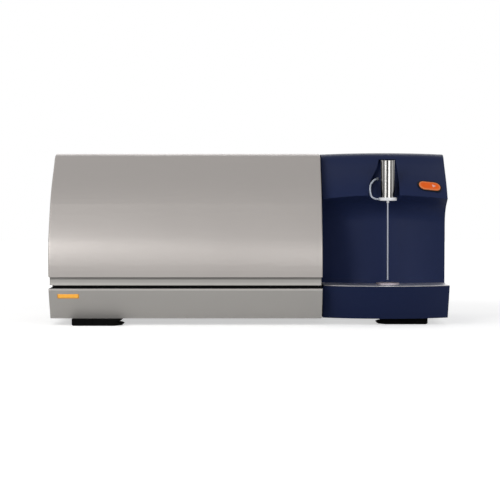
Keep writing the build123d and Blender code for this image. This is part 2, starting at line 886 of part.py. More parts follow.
# Rinse hose: from a fitting in the pocket's back wall, forward, round to the left and into the collar
z_hose_end = collar_bottom + collar_height / 2
y_hose_start = hose_y - 2 * hose_fitting_radius
reach_end = collar_radius + fit_gap
out_x = cos(radians(hose_entry_angle))
out_y = sin(radians(hose_entry_angle))
hose_route = [
    (hose_x, y_hose_start, hose_z),
    (hose_x, y_hose_start - 16.0, hose_z),
    (x_needle - 29.0, y_needle - 2.0, hose_z - 1.5),
    (x_needle - 38.0, y_needle - 11.0, hose_z - 11.5),
    (x_needle - 39.0, y_needle - 15.0, z_hose_end + 17.7),
    (x_needle - 36.0, y_needle - 17.0, z_hose_end + 4.7),
    (x_needle - (reach_end + 10.0) * out_x, y_needle - (reach_end + 10.0) * out_y, z_hose_end),
    (x_needle - reach_end * out_x, y_needle - reach_end * out_y, z_hose_end),
]


def route_radii(route, share):
    """Radius of each arc of a hose: a share of its shorter run, by the tangent of half its turn"""
    points = [Vector(*place) for place in route]
    radii = []
    for before, corner, after in zip(points, points[1:], points[2:]):
        turn = radians((corner - before).get_angle(after - corner))
        radii.append(share * min((corner - before).length, (after - corner).length) / tan(turn / 2))
    return radii


hose_radii = route_radii(hose_route, hose_turn_share)
print("rinse hose radii", [round(radius, 1) for radius in hose_radii])
with BuildPart() as rinse_hose:
    with BuildLine():
        hose_path = FilletPolyline(*hose_route, radius=hose_radii)
    with BuildSketch(Plane(origin=hose_path @ 0, z_dir=hose_path % 0)):
        Circle(hose_radius)
    sweep(path=hose_path)
hose_volume = pi * hose_radius**2 * hose_path.length
print("rinse hose volume over section by length", round(rinse_hose.part.volume / hose_volume, 4))
rinse_hose.part.label = "rinse_hose"
export_step(rinse_hose.part, "parts/rinse_hose.step")

with BuildPart() as rinse_fitting:
    with BuildSketch(Plane.XZ.offset(-y_hose_start)):
        with Locations((hose_x, hose_z)):
            Circle(hose_fitting_radius)
    extrude(amount=-hose_fitting_length - 2 * hose_fitting_radius)
    chamfer(rinse_fitting.faces().sort_by(Axis.Y)[0].edges(), length=hose_fitting_radius - hose_radius)
rinse_fitting.part.label = "rinse_fitting"
export_step(rinse_fitting.part, "parts/rinse_fitting.step")

# Pipette: needle, and head inside the guide tube
z_tip = z_seat + seat_height + needle_rise
with BuildPart() as pipette_head:
    with BuildSketch(Plane.XY.offset(z_head_low)):
        with Locations((x_needle, y_needle)):
            Circle(head_radius)
            Circle(needle_radius, mode=Mode.SUBTRACT)
    extrude(amount=head_height)
    chamfer(pipette_head.edges().filter_by(GeomType.CIRCLE).sort_by(SortBy.RADIUS)[-2:], length=seat_edge)
pipette_head.part.label = "pipette_head"
export_step(pipette_head.part, "parts/pipette_head.step")

with BuildPart() as pipette_needle:
    with BuildSketch(Plane.XY.offset(z_tip)):
        with Locations((x_needle, y_needle)):
            Circle(needle_radius)
            Circle(needle_radius / 2, mode=Mode.SUBTRACT)
    extrude(amount=z_head_low + head_height - z_tip)
pipette_needle.part.label = "pipette_needle"
export_step(pipette_needle.part, "parts/pipette_needle.step")

y_rail_front = y_lift - rail_depth
y_carriage_back = y_lift - carriage_clear
y_carriage = y_carriage_back - carriage_depth
# Carriage: slotted block that wraps the rail, with the pipette's arm and a lug that grips the belt
x_pulley = x_needle + pulley_offset
y_belt = y_lift - belt_plane
x_belt = x_pulley - pulley_radius - pivot_gap
x_carriage_right = x_needle + carriage_width / 2
with BuildPart() as lift_carriage:
    with BuildSketch(Plane.XY.offset(z_arm - carriage_height / 2)):
        with Locations((x_needle, (y_carriage + y_carriage_back) / 2)):
            Rectangle(carriage_width, carriage_depth)
        with Locations((x_needle, (y_rail_front - carriage_gap + y_lift) / 2)):
            Rectangle(rail_width + 2 * carriage_gap, rail_depth + carriage_gap, mode=Mode.SUBTRACT)
    extrude(amount=carriage_height)
    x_lug_end = x_belt + fit_gap + lug_wall
    y_belt_front = y_belt - belt_width / 2 - fit_gap
    with BuildSketch(Plane.XY.offset(z_arm - carriage_height / 2)):
        with BuildLine():
            Polyline(
                (x_carriage_right, y_belt_front - lug_wall),
                (x_lug_end, y_belt_front - lug_wall),
                (x_lug_end, y_belt + belt_width / 2),
                (x_lug_end - lug_wall, y_belt + belt_width / 2),
                (x_lug_end - lug_wall, y_belt_front),
                (x_carriage_right, y_belt_front),
                close=True,
            )
        make_face()
    extrude(amount=lug_height)
    with BuildSketch(Plane.XZ.offset(-y_needle)):
        with Locations((x_needle, z_arm)):
            Rectangle(arm_width, arm_height)
    extrude(amount=-(y_carriage - y_needle))
    with BuildSketch(Plane.XY.offset(z_head_low)):
        with Locations((x_needle, y_needle)):
            Circle(head_radius)
    extrude(amount=head_height, mode=Mode.SUBTRACT)
lift_carriage.part.label = "lift_carriage"
export_step(lift_carriage.part, "parts/lift_carriage.step")

# Lift frame: bracket on the sampler base, with the rail, the belt, its pulleys and the motor
y_pulley_front = y_belt - pulley_width / 2 - pulley_flange_width
with BuildPart() as lift_bracket:
    with BuildSketch(Plane.XZ.offset(-y_lift)):
        with Locations((x_needle + lug_wall, (z_tray + bracket_top) / 2)):
            Rectangle(bracket_width, bracket_top - z_tray)
        with Locations((x_pulley, pulley_bottom)):
            Circle(motor_boss_radius + snug_gap, mode=Mode.SUBTRACT)
        with Locations((x_needle + lug_wall, (z_tray + pulley_bottom - motor_side) / 2)):
            RectangleRounded(bracket_width / 2, bracket_width / 2, bracket_wall, mode=Mode.SUBTRACT)
    extrude(amount=-bracket_wall)
    with BuildSketch(Plane.XY.offset(z_tray)):
        with Locations((x_needle + lug_wall, y_lift + bracket_foot / 2)):
            Rectangle(bracket_width, bracket_foot)
    extrude(amount=bracket_wall)
    for side in (-1, 1):
        x_gusset = x_needle + lug_wall + side * (bracket_width - bracket_wall) / 2
        with BuildSketch(Plane.YZ.offset(x_gusset - bracket_wall / 2)):
            with BuildLine():
                Polyline(
                    (y_lift, z_tray),
                    (y_lift + bracket_foot, z_tray),
                    (y_lift, z_tray + 2 * bracket_foot),
                    close=True,
                )
            make_face()
        extrude(amount=bracket_wall)
    with BuildSketch(Plane.XZ.offset(-y_pulley_front)):
        with Locations((x_pulley, pulley_top)):
            Circle(shaft_radius)
    extrude(amount=-(y_lift + bracket_wall - y_pulley_front))
lift_bracket.part.label = "lift_bracket"
export_step(lift_bracket.part, "parts/lift_bracket.step")

with BuildPart() as lift_rail:
    with BuildSketch(Plane.XY.offset(bracket_top - rail_length)):
        with Locations((x_needle, y_lift - rail_depth / 2)):
            Rectangle(rail_width, rail_depth)
    extrude(amount=rail_length)
    chamfer(lift_rail.faces().sort_by(Axis.Y)[0].edges().filter_by(Axis.Z), length=belt_thickness)
lift_rail.part.label = "lift_rail"
export_step(lift_rail.part, "parts/lift_rail.step")

with BuildPart() as lift_belt:
    with BuildSketch(Plane.XZ.offset(-y_belt + belt_width / 2)):
        belt_inner = pulley_radius + pivot_gap
        with Locations((x_pulley, (pulley_top + pulley_bottom) / 2)):
            SlotCenterToCenter(pulley_top - pulley_bottom, 2 * (belt_inner + belt_thickness), rotation=90)
            SlotCenterToCenter(pulley_top - pulley_bottom, 2 * belt_inner, rotation=90, mode=Mode.SUBTRACT)
    extrude(amount=-belt_width)
lift_belt.part.label = "lift_belt"
export_step(lift_belt.part, "parts/lift_belt.step")


def pulley(z, bore):
    """Flanged belt pulley about an axis along Y at a height"""
    half = pulley_width / 2
    rim = half + pulley_flange_width
    with BuildPart() as made:
        with BuildSketch(Plane.XY.offset(z)):
            with BuildLine():
                Polyline(
                    (x_pulley + bore, y_belt - rim),
                    (x_pulley + pulley_flange, y_belt - rim),
                    (x_pulley + pulley_flange, y_belt - half),
                    (x_pulley + pulley_radius, y_belt - half),
                    (x_pulley + pulley_radius, y_belt + half),
                    (x_pulley + pulley_flange, y_belt + half),
                    (x_pulley + pulley_flange, y_belt + rim),
                    (x_pulley + bore, y_belt + rim),
                    close=True,
                )
            make_face()
        revolve(axis=Axis((x_pulley, y_belt, z), (0, 1, 0)))
    return made.part


with BuildPart() as drive_pulley:
    add(pulley(pulley_bottom, 0))
    with BuildSketch(Plane.XZ.offset(-y_belt)):
        with Locations((x_pulley, pulley_bottom)):
            Circle(shaft_radius)
    extrude(amount=-(y_lift + bracket_wall + motor_length / 2 - y_belt))
drive_pulley.part.label = "drive_pulley"
export_step(drive_pulley.part, "parts/drive_pulley.step")

with BuildPart() as idler_pulley:
    add(pulley(pulley_top, shaft_radius + pivot_gap))
idler_pulley.part.label = "idler_pulley"
export_step(idler_pulley.part, "parts/idler_pulley.step")

with BuildPart() as lift_motor:
    with BuildSketch(Plane.XZ.offset(-y_lift - bracket_wall)):
        with Locations((x_pulley, pulley_bottom)):
            RectangleRounded(motor_side, motor_side, motor_side / 8)
    extrude(amount=-motor_length)
    with BuildSketch(Plane.XZ.offset(-y_lift - bracket_wall)):
        with Locations((x_pulley, pulley_bottom)):
            Circle(motor_boss_radius)
    extrude(amount=motor_boss)
    with BuildSketch(Plane.XZ.offset(-y_lift - bracket_wall + motor_boss)):
        with Locations((x_pulley, pulley_bottom)):
            Circle(shaft_radius + pivot_gap)
    extrude(amount=-motor_boss - motor_length / 2 - fit_gap, mode=Mode.SUBTRACT)
lift_motor.part.label = "lift_motor"
export_step(lift_motor.part, "parts/lift_motor.step")

# Start button: capsule cap with a guide stem, in a bezel set into the bowed face, and its switch
with BuildPart() as start_button:
    with BuildSketch(button_plane.offset(button_proud - button_depth)):
        SlotOverall(button_length, button_width)
    extrude(amount=button_depth)
    cap_face = start_button.faces().sort_by(Axis(button_plane.origin, button_plane.z_dir))[-1]
    fillet(cap_face.edges(), radius=bezel_proud)
    with BuildSketch(button_plane.offset(button_proud - button_depth)):
        Circle(stem_radius)
    extrude(amount=-stem_length)
start_button.part.label = "start_button"
export_step(start_button.part, "parts/start_button.step")

with BuildPart() as button_bezel:
    with BuildSketch(button_plane.offset(bezel_proud - bezel_depth)):
        SlotOverall(bezel_length, bezel_width)
        SlotOverall(button_length + 2 * fit_gap, button_width + 2 * fit_gap, mode=Mode.SUBTRACT)
    extrude(amount=bezel_depth)
button_bezel.part.label = "button_bezel"
export_step(button_bezel.part, "parts/button_bezel.step")

with BuildPart() as button_switch:
    with BuildSketch(button_plane.offset(bezel_proud - bezel_depth)):
        SlotOverall(bezel_length, bezel_width)
    extrude(amount=-switch_flange)
    with BuildSketch(button_plane.offset(bezel_proud - bezel_depth - switch_flange)):
        Rectangle(switch_width, switch_width)
    extrude(amount=-switch_depth)
    with BuildSketch(button_plane.offset(bezel_proud - bezel_depth)):
        Circle(stem_radius + pivot_gap)
    extrude(amount=-switch_flange - switch_depth + lug_wall, mode=Mode.SUBTRACT)
button_switch.part.label = "button_switch"
export_step(button_switch.part, "parts/button_switch.step")

# Couplings: spacers and a cable sleeve between the base pan and the sampler base
with BuildPart() as side_spacers:
    with BuildSketch(Plane.YZ.offset(x_cover_right)):
        with Locations(*coupling_places):
            Circle(coupling_radius)
            Circle(coupling_bolt_radius, mode=Mode.SUBTRACT)
    extrude(amount=unit_gap)
side_spacers.part.label = "side_spacers"
export_step(side_spacers.part, "parts/side_spacers.step")

with BuildPart() as cable_sleeve:
    with BuildSketch(Plane.YZ.offset(x_cover_right - pan_wall - sleeve_flange)):
        with Locations(sleeve_place):
            Circle(sleeve_radius + sleeve_flange)
    extrude(amount=sleeve_flange)
    with BuildSketch(Plane.YZ.offset(x_cover_right - pan_wall)):
        with Locations(sleeve_place):
            Circle(sleeve_radius - snug_gap)
    extrude(amount=pan_wall + unit_gap + head_wall + sleeve_flange)
    with BuildSketch(Plane.YZ.offset(x_cover_right - pan_wall - sleeve_flange)):
        with Locations(sleeve_place):
            Circle(sleeve_bore)
    extrude(amount=overrun, mode=Mode.SUBTRACT)
cable_sleeve.part.label = "cable_sleeve"
export_step(cable_sleeve.part, "parts/cable_sleeve.step")

# Feet: four moulded feet, each with a mouth at its inboard end and ribs on its front
foot_left_x = x_left + foot_inset_left
foot_right_x = x_right - foot_inset_right
foot_places = [
    (foot_left_x, y_front + foot_front_left, 1),
    (foot_right_x, y_front + foot_front_right, -1),
    (foot_left_x, y_rear - foot_rear - foot_depth, 1),
    (foot_right_x, y_rear - foot_rear - foot_depth, -1),
]
with BuildPart() as feet:
    for x_foot, y_foot, inboard in foot_places:
        x_start = x_foot - inboard * foot_length / 2
        outline = [(x_start + inboard * a * foot_length, b * foot_height) for a, b in foot_outline_shares]
        with BuildSketch(Plane.XZ.offset(-y_foot)):
            with BuildLine():
                Polyline(*outline, close=True)
            make_face()
        extrude(amount=-foot_depth)
        with BuildSketch(Plane.XZ.offset(-y_foot)):
            for share in foot_rib_shares:
                with Locations((x_start + inboard * share * foot_length, foot_height / 2)):
                    Rectangle(foot_rib_width, foot_height)
        extrude(amount=-foot_rib_depth, mode=Mode.SUBTRACT)
feet.part.label = "feet"
export_step(feet.part, "parts/feet.step")

# Deck: sheet tray on the pan's rim, turned up in front and at the left
x_deck_left = x_bay_left + rail_wall + deck_gap
x_deck_right = x_bay_right - rail_wall - deck_gap
y_deck = y_rail + rail_lip + deck_gap
y_panel = y_rear - niche_depth
y_panel_back = y_panel + panel_thickness
z_deck = z_pan + deck_thickness
x_deck = (x_deck_left + x_deck_right) / 2
y_deck_middle = (y_deck + y_panel) / 2
bay_width = x_bay_right - x_bay_left
bay_height = z_top - z_deck
with BuildPart() as deck_plate:
    with BuildSketch(Plane.XY.offset(z_pan)):
        with Locations((x_deck, y_deck_middle)):
            Rectangle(x_deck_right - x_deck_left, y_panel - y_deck)
    extrude(amount=deck_thickness + deck_upstand)
    with BuildSketch(Plane.XY.offset(z_deck)):
        with Locations((x_deck + deck_thickness, y_deck_middle + deck_thickness)):
            Rectangle(x_deck_right - x_deck_left, y_panel - y_deck)
    extrude(amount=overrun, mode=Mode.SUBTRACT)
    with BuildSketch(Plane.XY.offset(z_pan)):
        with Locations((x_bay_left + deck_hole_share * bay_width, y_panel - deck_hole)):
            RectangleRounded(deck_hole, deck_hole / 3, overrun / 4)
    extrude(amount=deck_thickness, mode=Mode.SUBTRACT)
deck_plate.part.label = "deck_plate"
export_step(deck_plate.part, "parts/deck_plate.step")

# Partition: sheet wall at the right of the bay, following the cover's outline inside it
notch_depth = y_deck + deck_thickness - y_front
notch_height = z_rail_top + deck_gap - z_deck
with BuildPart() as partition_wall:
    with BuildSketch(Plane.YZ.offset(x_deck_right - panel_thickness)):
        make_face(cover_outline(partition_inset, z_deck))
        with Locations((y_panel, (z_deck + z_top) / 2)):
            Rectangle(2 * (y_rear - y_panel), bay_height + overrun, mode=Mode.SUBTRACT)
        with Locations((y_front, z_deck)):
            Rectangle(2 * notch_depth, 2 * notch_height, mode=Mode.SUBTRACT)
    extrude(amount=panel_thickness)
partition_wall.part.label = "partition_wall"
export_step(partition_wall.part, "parts/partition_wall.step")

# Rear panel: upright sheet in the niche behind, with openings for fan, inlet, switch and ports
x_fan = x_bay_left + fan_share * bay_width
x_inlet = x_bay_left + inlet_share * bay_width
x_switch = x_bay_left + switch_share * bay_width
x_port = x_bay_left + port_share * bay_width
x_bulkheads = [x_bay_left + share * bay_width for share in bulkhead_shares]
z_fan = z_deck + fan_z
z_fitting = z_deck + fitting_z
z_panel_top = z_top - panel_drop
grille_pitch = 2 * fan_bore / grille_slots
switch_hole_width = switch_frame_width - 2 * inlet_flange
switch_hole_height = switch_frame_height - 2 * inlet_flange
with BuildPart() as rear_panel:
    with BuildSketch(Plane.XZ.offset(-y_panel)):
        with Locations(((x_deck_left + x_deck_right) / 2, (z_pan + z_panel_top) / 2)):
            Rectangle(x_deck_right - x_deck_left, z_panel_top - z_pan)
        for row in range(grille_slots):
            rise = (row - (grille_slots - 1) / 2) * grille_pitch
            with Locations((x_fan, z_fan + rise)):
                SlotOverall(2 * sqrt(fan_bore**2 - rise**2), grille_slot, mode=Mode.SUBTRACT)
        with Locations((x_inlet, z_fitting)):
            Rectangle(inlet_width - 2 * inlet_wall, inlet_height, mode=Mode.SUBTRACT)
        with Locations((x_switch, z_fitting)):
            Rectangle(switch_hole_width, switch_hole_height, mode=Mode.SUBTRACT)
        with Locations((x_port, z_fitting)):
            Rectangle(port_width, port_height, mode=Mode.SUBTRACT)
        with Locations(*[(x, z_fitting) for x in x_bulkheads]):
            Circle(bulkhead_radius, mode=Mode.SUBTRACT)
    extrude(amount=-panel_thickness)
rear_panel.part.label = "rear_panel"
export_step(rear_panel.part, "parts/rear_panel.step")

# Cover rests: rubber blocks on the pan's rim, under the skirts of the closed cover
with BuildPart() as cover_rests:
    with BuildSketch(Plane.XY.offset(z_pan)):
        for x_rest in (x_bay_left + rail_wall / 2, x_bay_right - rail_wall / 2):
            with Locations((x_rest, y_front / 2), (x_rest, y_rear / 2)):
                RectangleRounded(rail_wall, rest_length, rail_wall / 3)
    extrude(amount=finger_slot - fit_gap)
cover_rests.part.label = "cover_rests"
export_step(cover_rests.part, "parts/cover_rests.step")

# Cover hinges: two butt hinges behind the rear panel's top edge, each with its pin
y_hinge = y_rear - cover_wall - hinge_flange_gap - hinge_radius
z_hinge = z_top - panel_drop + hinge_leaf
hinge_places = [x_left + share * cover_width for share in hinge_place_shares]
knuckle_width = (hinge_width * (1 - hinge_share)) / 2
lid_knuckle = hinge_width * hinge_share - 2 * hinge_side_gap
y_leaf = y_panel + panel_thickness


def knuckle(x_low, x_high):
    """One hinge knuckle between two places along X, bored for the pin"""
    with BuildPart() as made:
        with BuildSketch(Plane.YZ.offset(x_low)):
            with Locations((y_hinge, z_hinge)):
                Circle(hinge_radius)
                Circle(hinge_pin_radius + pivot_gap, mode=Mode.SUBTRACT)
        extrude(amount=x_high - x_low)
    return made.part


def hinge_bore(x_low, x_high):
    """Room for the pin through a leaf"""
    with BuildPart() as made:
        with BuildSketch(Plane.YZ.offset(x_low)):
            with Locations((y_hinge, z_hinge)):
                Circle(hinge_pin_radius + pivot_gap)
        extrude(amount=x_high - x_low)
    return made.part


with BuildPart() as frame_hinge_leaves:
    for x_hinge in hinge_places:
        x_start = x_hinge - hinge_width / 2
        with BuildSketch(Plane.YZ.offset(x_start)):
            with Locations((y_leaf + hinge_leaf / 2, z_hinge - hinge_radius - hinge_leaf_drop / 2)):
                Rectangle(hinge_leaf, hinge_leaf_drop)
        extrude(amount=hinge_width)
        for x_low in (x_start, x_hinge + hinge_width / 2 - knuckle_width):
            with BuildSketch(Plane.YZ.offset(x_low)):
                with BuildLine():
                    Polyline(
                        (y_leaf, z_hinge - hinge_radius - hinge_leaf),
                        (y_leaf + hinge_leaf, z_hinge - hinge_radius - hinge_leaf),
                        (y_hinge, z_hinge - hinge_radius),
                        (y_hinge, z_hinge),
                        (y_leaf, z_hinge),
                        close=True,
                    )
                make_face()
            extrude(amount=knuckle_width)
            add(knuckle(x_low, x_low + knuckle_width))
            add(hinge_bore(x_low, x_low + knuckle_width), mode=Mode.SUBTRACT)
frame_hinge_leaves.part.label = "frame_hinge_leaves"
export_step(frame_hinge_leaves.part, "parts/frame_hinge_leaves.step")

z_lid_plate = z_top - cover_wall
with BuildPart() as lid_hinge_leaves:
    for x_hinge in hinge_places:
        x_start = x_hinge - lid_knuckle / 2
        with BuildSketch(Plane.YZ.offset(x_start)):
            with Locations((y_hinge + hinge_leaf / 2, (z_hinge + hinge_pin_radius + z_lid_plate) / 2)):
                Rectangle(hinge_leaf, z_lid_plate - z_hinge - hinge_pin_radius)
            with Locations((y_hinge + hinge_leaf - hinge_leaf_reach / 2, z_lid_plate - hinge_leaf / 2)):
                Rectangle(hinge_leaf_reach, hinge_leaf)
        extrude(amount=lid_knuckle)
        add(knuckle(x_start, x_start + lid_knuckle))
        add(hinge_bore(x_start, x_start + lid_knuckle), mode=Mode.SUBTRACT)
lid_hinge_leaves.part.label = "lid_hinge_leaves"
export_step(lid_hinge_leaves.part, "parts/lid_hinge_leaves.step")

with BuildPart() as hinge_pins:
    for x_hinge in hinge_places:
        with BuildSketch(Plane.YZ.offset(x_hinge - hinge_width / 2)):
            with Locations((y_hinge, z_hinge)):
                Circle(hinge_pin_radius)
        extrude(amount=hinge_width)
hinge_pins.part.label = "hinge_pins"
export_step(hinge_pins.part, "parts/hinge_pins.step")


def bay_place(share):
    """Place in the measuring bay from shares of its width and depth"""
    return x_bay_left + share[0] * bay_width, y_front + share[1] * body_depth


# Interferometer: ribbed casting on rubber mounts, with its lid
x_optics, y_optics = bay_place(optics_share)
z_optics = z_deck + mount_height
z_beam = z_optics + optics_height / 2
y_optics_front = y_optics - optics_depth / 2
optics_room_width = optics_width - 2 * optics_wall
optics_room_depth = optics_depth - 2 * optics_wall
with BuildPart() as interferometer_housing:
    with BuildSketch(Plane.XY.offset(z_optics)):
        with Locations((x_optics, y_optics)):
            RectangleRounded(optics_width, optics_depth, optics_corner)
    extrude(amount=optics_height)
    with BuildSketch(Plane.XY.offset(z_optics + optics_wall)):
        with Locations((x_optics, y_optics)):
            RectangleRounded(optics_room_width, optics_room_depth, optics_corner / 2)
    extrude(amount=optics_height, mode=Mode.SUBTRACT)
    with BuildSketch(Plane.XY.offset(z_optics)):
        with Locations((x_optics, y_optics + optics_depth / 2)):
            with GridLocations(optics_width / (optics_ribs + 1), 0, optics_ribs, 1):
                Rectangle(optics_rib, 2 * optics_rib)
    extrude(amount=optics_height)
    with BuildSketch(Plane.XZ.offset(-y_optics_front)):
        with Locations((x_optics, z_beam)):
            Circle(cell_bore)
    extrude(amount=-optics_wall, mode=Mode.SUBTRACT)
interferometer_housing.part.label = "interferometer_housing"
export_step(interferometer_housing.part, "parts/interferometer_housing.step")

z_optics_lid = z_optics + optics_height
optics_lid_width = optics_width + 2 * optics_lid_rim
optics_lid_depth = optics_depth + 2 * optics_lid_rim
with BuildPart() as interferometer_lid:
    with BuildSketch(Plane.XY.offset(z_optics_lid)):
        with Locations((x_optics, y_optics)):
            RectangleRounded(optics_lid_width, optics_lid_depth, optics_corner)
    extrude(amount=optics_lid)
    chamfer(interferometer_lid.faces().sort_by(Axis.Z)[-1].edges(), length=optics_lid_rim / 2)
interferometer_lid.part.label = "interferometer_lid"
export_step(interferometer_lid.part, "parts/interferometer_lid.step")

mount_spread_x = optics_width - 4 * mount_radius
mount_spread_y = optics_depth - 4 * mount_radius
with BuildPart() as optics_mounts:
    with BuildSketch(Plane.XY.offset(z_deck)):
        with Locations((x_optics, y_optics)):
            with GridLocations(mount_spread_x, mount_spread_y, 2, 2):
                Circle(mount_radius)
    extrude(amount=mount_height / 3)
    with BuildSketch(Plane.XY.offset(z_deck + mount_height / 3)):
        with Locations((x_optics, y_optics)):
            with GridLocations(mount_spread_x, mount_spread_y, 2, 2):
                Circle(mount_waist)
    extrude(amount=mount_height / 3)
    with BuildSketch(Plane.XY.offset(z_deck + 2 * mount_height / 3)):
        with Locations((x_optics, y_optics)):
            with GridLocations(mount_spread_x, mount_spread_y, 2, 2):
                Circle(mount_radius)
    extrude(amount=mount_height / 3)
optics_mounts.part.label = "optics_mounts"
export_step(optics_mounts.part, "parts/optics_mounts.step")

# Infrared source: finned cylinder on the casting's left wall
x_source = x_optics - optics_width / 2
with BuildPart() as infrared_source:
    with BuildSketch(Plane.YZ.offset(x_source)):
        with Locations((y_optics, z_beam)):
            Circle(source_core)
    extrude(amount=-source_length)
    fin_pitch = source_length / source_fins
    for fin in range(source_fins):
        with BuildSketch(Plane.YZ.offset(x_source - fin * fin_pitch)):
            with Locations((y_optics, z_beam)):
                Circle(source_radius)
        extrude(amount=-fin_pitch / 2)
infrared_source.part.label = "infrared_source"
export_step(infrared_source.part, "parts/infrared_source.step")

# Cuvette block on the beam in front of the casting, and the detector in front of it
with BuildPart() as cuvette_block:
    with BuildSketch(Plane.XZ.offset(-y_optics_front)):
        with Locations((x_optics, z_beam)):
            RectangleRounded(cell_width, cell_height, cell_edge)
            Circle(cell_bore, mode=Mode.SUBTRACT)
    extrude(amount=cell_depth)
cuvette_block.part.label = "cuvette_block"
export_step(cuvette_block.part, "parts/cuvette_block.step")

y_cell_front = y_optics_front - cell_depth
with BuildPart() as detector_housing:
    with BuildSketch(Plane.XZ.offset(-y_cell_front)):
        with Locations((x_optics, z_beam)):
            Circle(detector_flange)
    extrude(amount=detector_flange_width)
    with BuildSketch(Plane.XZ.offset(-y_cell_front + detector_flange_width)):
        with Locations((x_optics, z_beam)):
            Circle(detector_radius)
    extrude(amount=detector_length)
    chamfer(detector_housing.faces().sort_by(Axis.Y)[0].edges(), length=detector_flange_width / 2)
detector_housing.part.label = "detector_housing"
export_step(detector_housing.part, "parts/detector_housing.step")

# Desiccant cartridge screwed into the casting's lid
z_desiccant = z_optics_lid + optics_lid
with BuildPart() as desiccant_cartridge:
    with BuildSketch(Plane.XY.offset(z_desiccant)):
        with Locations((x_optics, y_optics)):
            Circle(desiccant_radius)
    extrude(amount=desiccant_height)
    with BuildSketch(Plane.XY.offset(z_desiccant + desiccant_height)):
        with Locations((x_optics, y_optics)):
            Circle(desiccant_cap_radius)
    extrude(amount=desiccant_cap)
    chamfer(desiccant_cartridge.faces().sort_by(Axis.Z)[-1].edges(), length=desiccant_cap / 4)
desiccant_cartridge.part.label = "desiccant_cartridge"
export_step(desiccant_cartridge.part, "parts/desiccant_cartridge.step")

# Sample heater: finned block
x_heater, y_heater = bay_place(heater_share)
with BuildPart() as sample_heater:
    with BuildSketch(Plane.XY.offset(z_deck)):
        with Locations((x_heater, y_heater)):
            Rectangle(heater_width, heater_depth)
            with GridLocations(heater_width / heater_fins, 0, heater_fins, 1):
                with Locations((heater_fin / 2, -heater_depth / 2)):
                    Rectangle(heater_fin, heater_depth / 3, mode=Mode.SUBTRACT)
    extrude(amount=heater_height)
sample_heater.part.label = "sample_heater"
export_step(sample_heater.part, "parts/sample_heater.step")

# High-pressure pump: block with its motor behind and the homogeniser valve on top
x_supply = x_bay_left + supply_share * bay_width
x_pump = x_supply - supply_width / 2 - pump_clear - pump_motor_radius
y_pump = y_front + pump_share * body_depth
with BuildPart() as pump_block:
    with BuildSketch(Plane.XY.offset(z_deck)):
        with Locations((x_pump, y_pump)):
            RectangleRounded(pump_width, pump_depth, pump_edge)
    extrude(amount=pump_height)
    chamfer(pump_block.faces().sort_by(Axis.Z)[-1].edges(), length=pump_edge / 2)
pump_block.part.label = "pump_block"
export_step(pump_block.part, "parts/pump_block.step")

y_pump_back = y_pump + pump_depth / 2
with BuildPart() as pump_motor:
    with BuildSketch(Plane.XZ.offset(-y_pump_back)):
        with Locations((x_pump, z_deck + pump_height / 2)):
            Circle(pump_motor_radius)
    extrude(amount=-pump_motor_length)
    fillet(pump_motor.faces().sort_by(Axis.Y)[-1].edges(), radius=pump_edge)
pump_motor.part.label = "pump_motor"
export_step(pump_motor.part, "parts/pump_motor.step")

z_valve = z_deck + pump_height
with BuildPart() as homogeniser_valve:
    with BuildSketch(Plane.XY.offset(z_valve)):
        with Locations((x_pump, y_pump)):
            Circle(valve_radius)
    extrude(amount=valve_height)
    with BuildSketch(Plane.XY.offset(z_valve + valve_height / 3)):
        with Locations((x_pump, y_pump)):
            RegularPolygon(valve_nut_radius, 6)
    extrude(amount=valve_nut)
    chamfer(homogeniser_valve.faces().sort_by(Axis.Z)[-1].edges(), length=pump_edge / 2)
homogeniser_valve.part.label = "homogeniser_valve"
export_step(homogeniser_valve.part, "parts/homogeniser_valve.step")

# Drain pump: body with a round race and a motor behind, and a three-roller rotor on its shaft
x_drain, y_drain = bay_place(drain_share)
y_drain_front = y_drain - drain_depth / 2
z_drain = z_deck + drain_height / 2
y_race = y_drain_front + drain_depth - drain_wall
with BuildPart() as drain_pump_body:
    with BuildSketch(Plane.XZ.offset(-y_drain_front)):
        with Locations((x_drain, z_drain)):
            RectangleRounded(drain_width, drain_height, drain_wall)
    extrude(amount=-drain_depth)
    with BuildSketch(Plane.XZ.offset(-y_drain_front)):
        with Locations((x_drain, z_drain)):
            Circle(drain_race)
    extrude(amount=-(drain_depth - drain_wall), mode=Mode.SUBTRACT)
    with BuildSketch(Plane.XZ.offset(-y_drain_front - drain_depth)):
        with Locations((x_drain, z_drain)):
            Circle(drain_motor_radius)
    extrude(amount=-drain_motor_length)
    with BuildSketch(Plane.XZ.offset(-y_drain_front)):
        with Locations((x_drain, z_drain)):
            Circle(drain_shaft + pivot_gap)
    extrude(amount=-drain_depth - drain_motor_length / 2, mode=Mode.SUBTRACT)
drain_pump_body.part.label = "drain_pump_body"
export_step(drain_pump_body.part, "parts/drain_pump_body.step")

with BuildPart() as drain_pump_rotor:
    with BuildSketch(Plane.XZ.offset(-y_race + fit_gap)):
        with Locations((x_drain, z_drain)):
            Circle(drain_hub)
            with PolarLocations(drain_arm, 3):
                Circle(drain_roller)
            for spoke in range(3):
                with Locations(Rotation(0, 0, 120 * spoke)):
                    with Locations((drain_arm / 2, 0)):
                        Rectangle(drain_arm, drain_hub)
    extrude(amount=drain_depth - 2 * drain_wall)
    with BuildSketch(Plane.XZ.offset(-y_race + fit_gap)):
        with Locations((x_drain, z_drain)):
            Circle(drain_shaft)
    extrude(amount=-drain_wall - fit_gap - drain_motor_length / 3)
drain_pump_rotor.part.label = "drain_pump_rotor"
export_step(drain_pump_rotor.part, "parts/drain_pump_rotor.step")

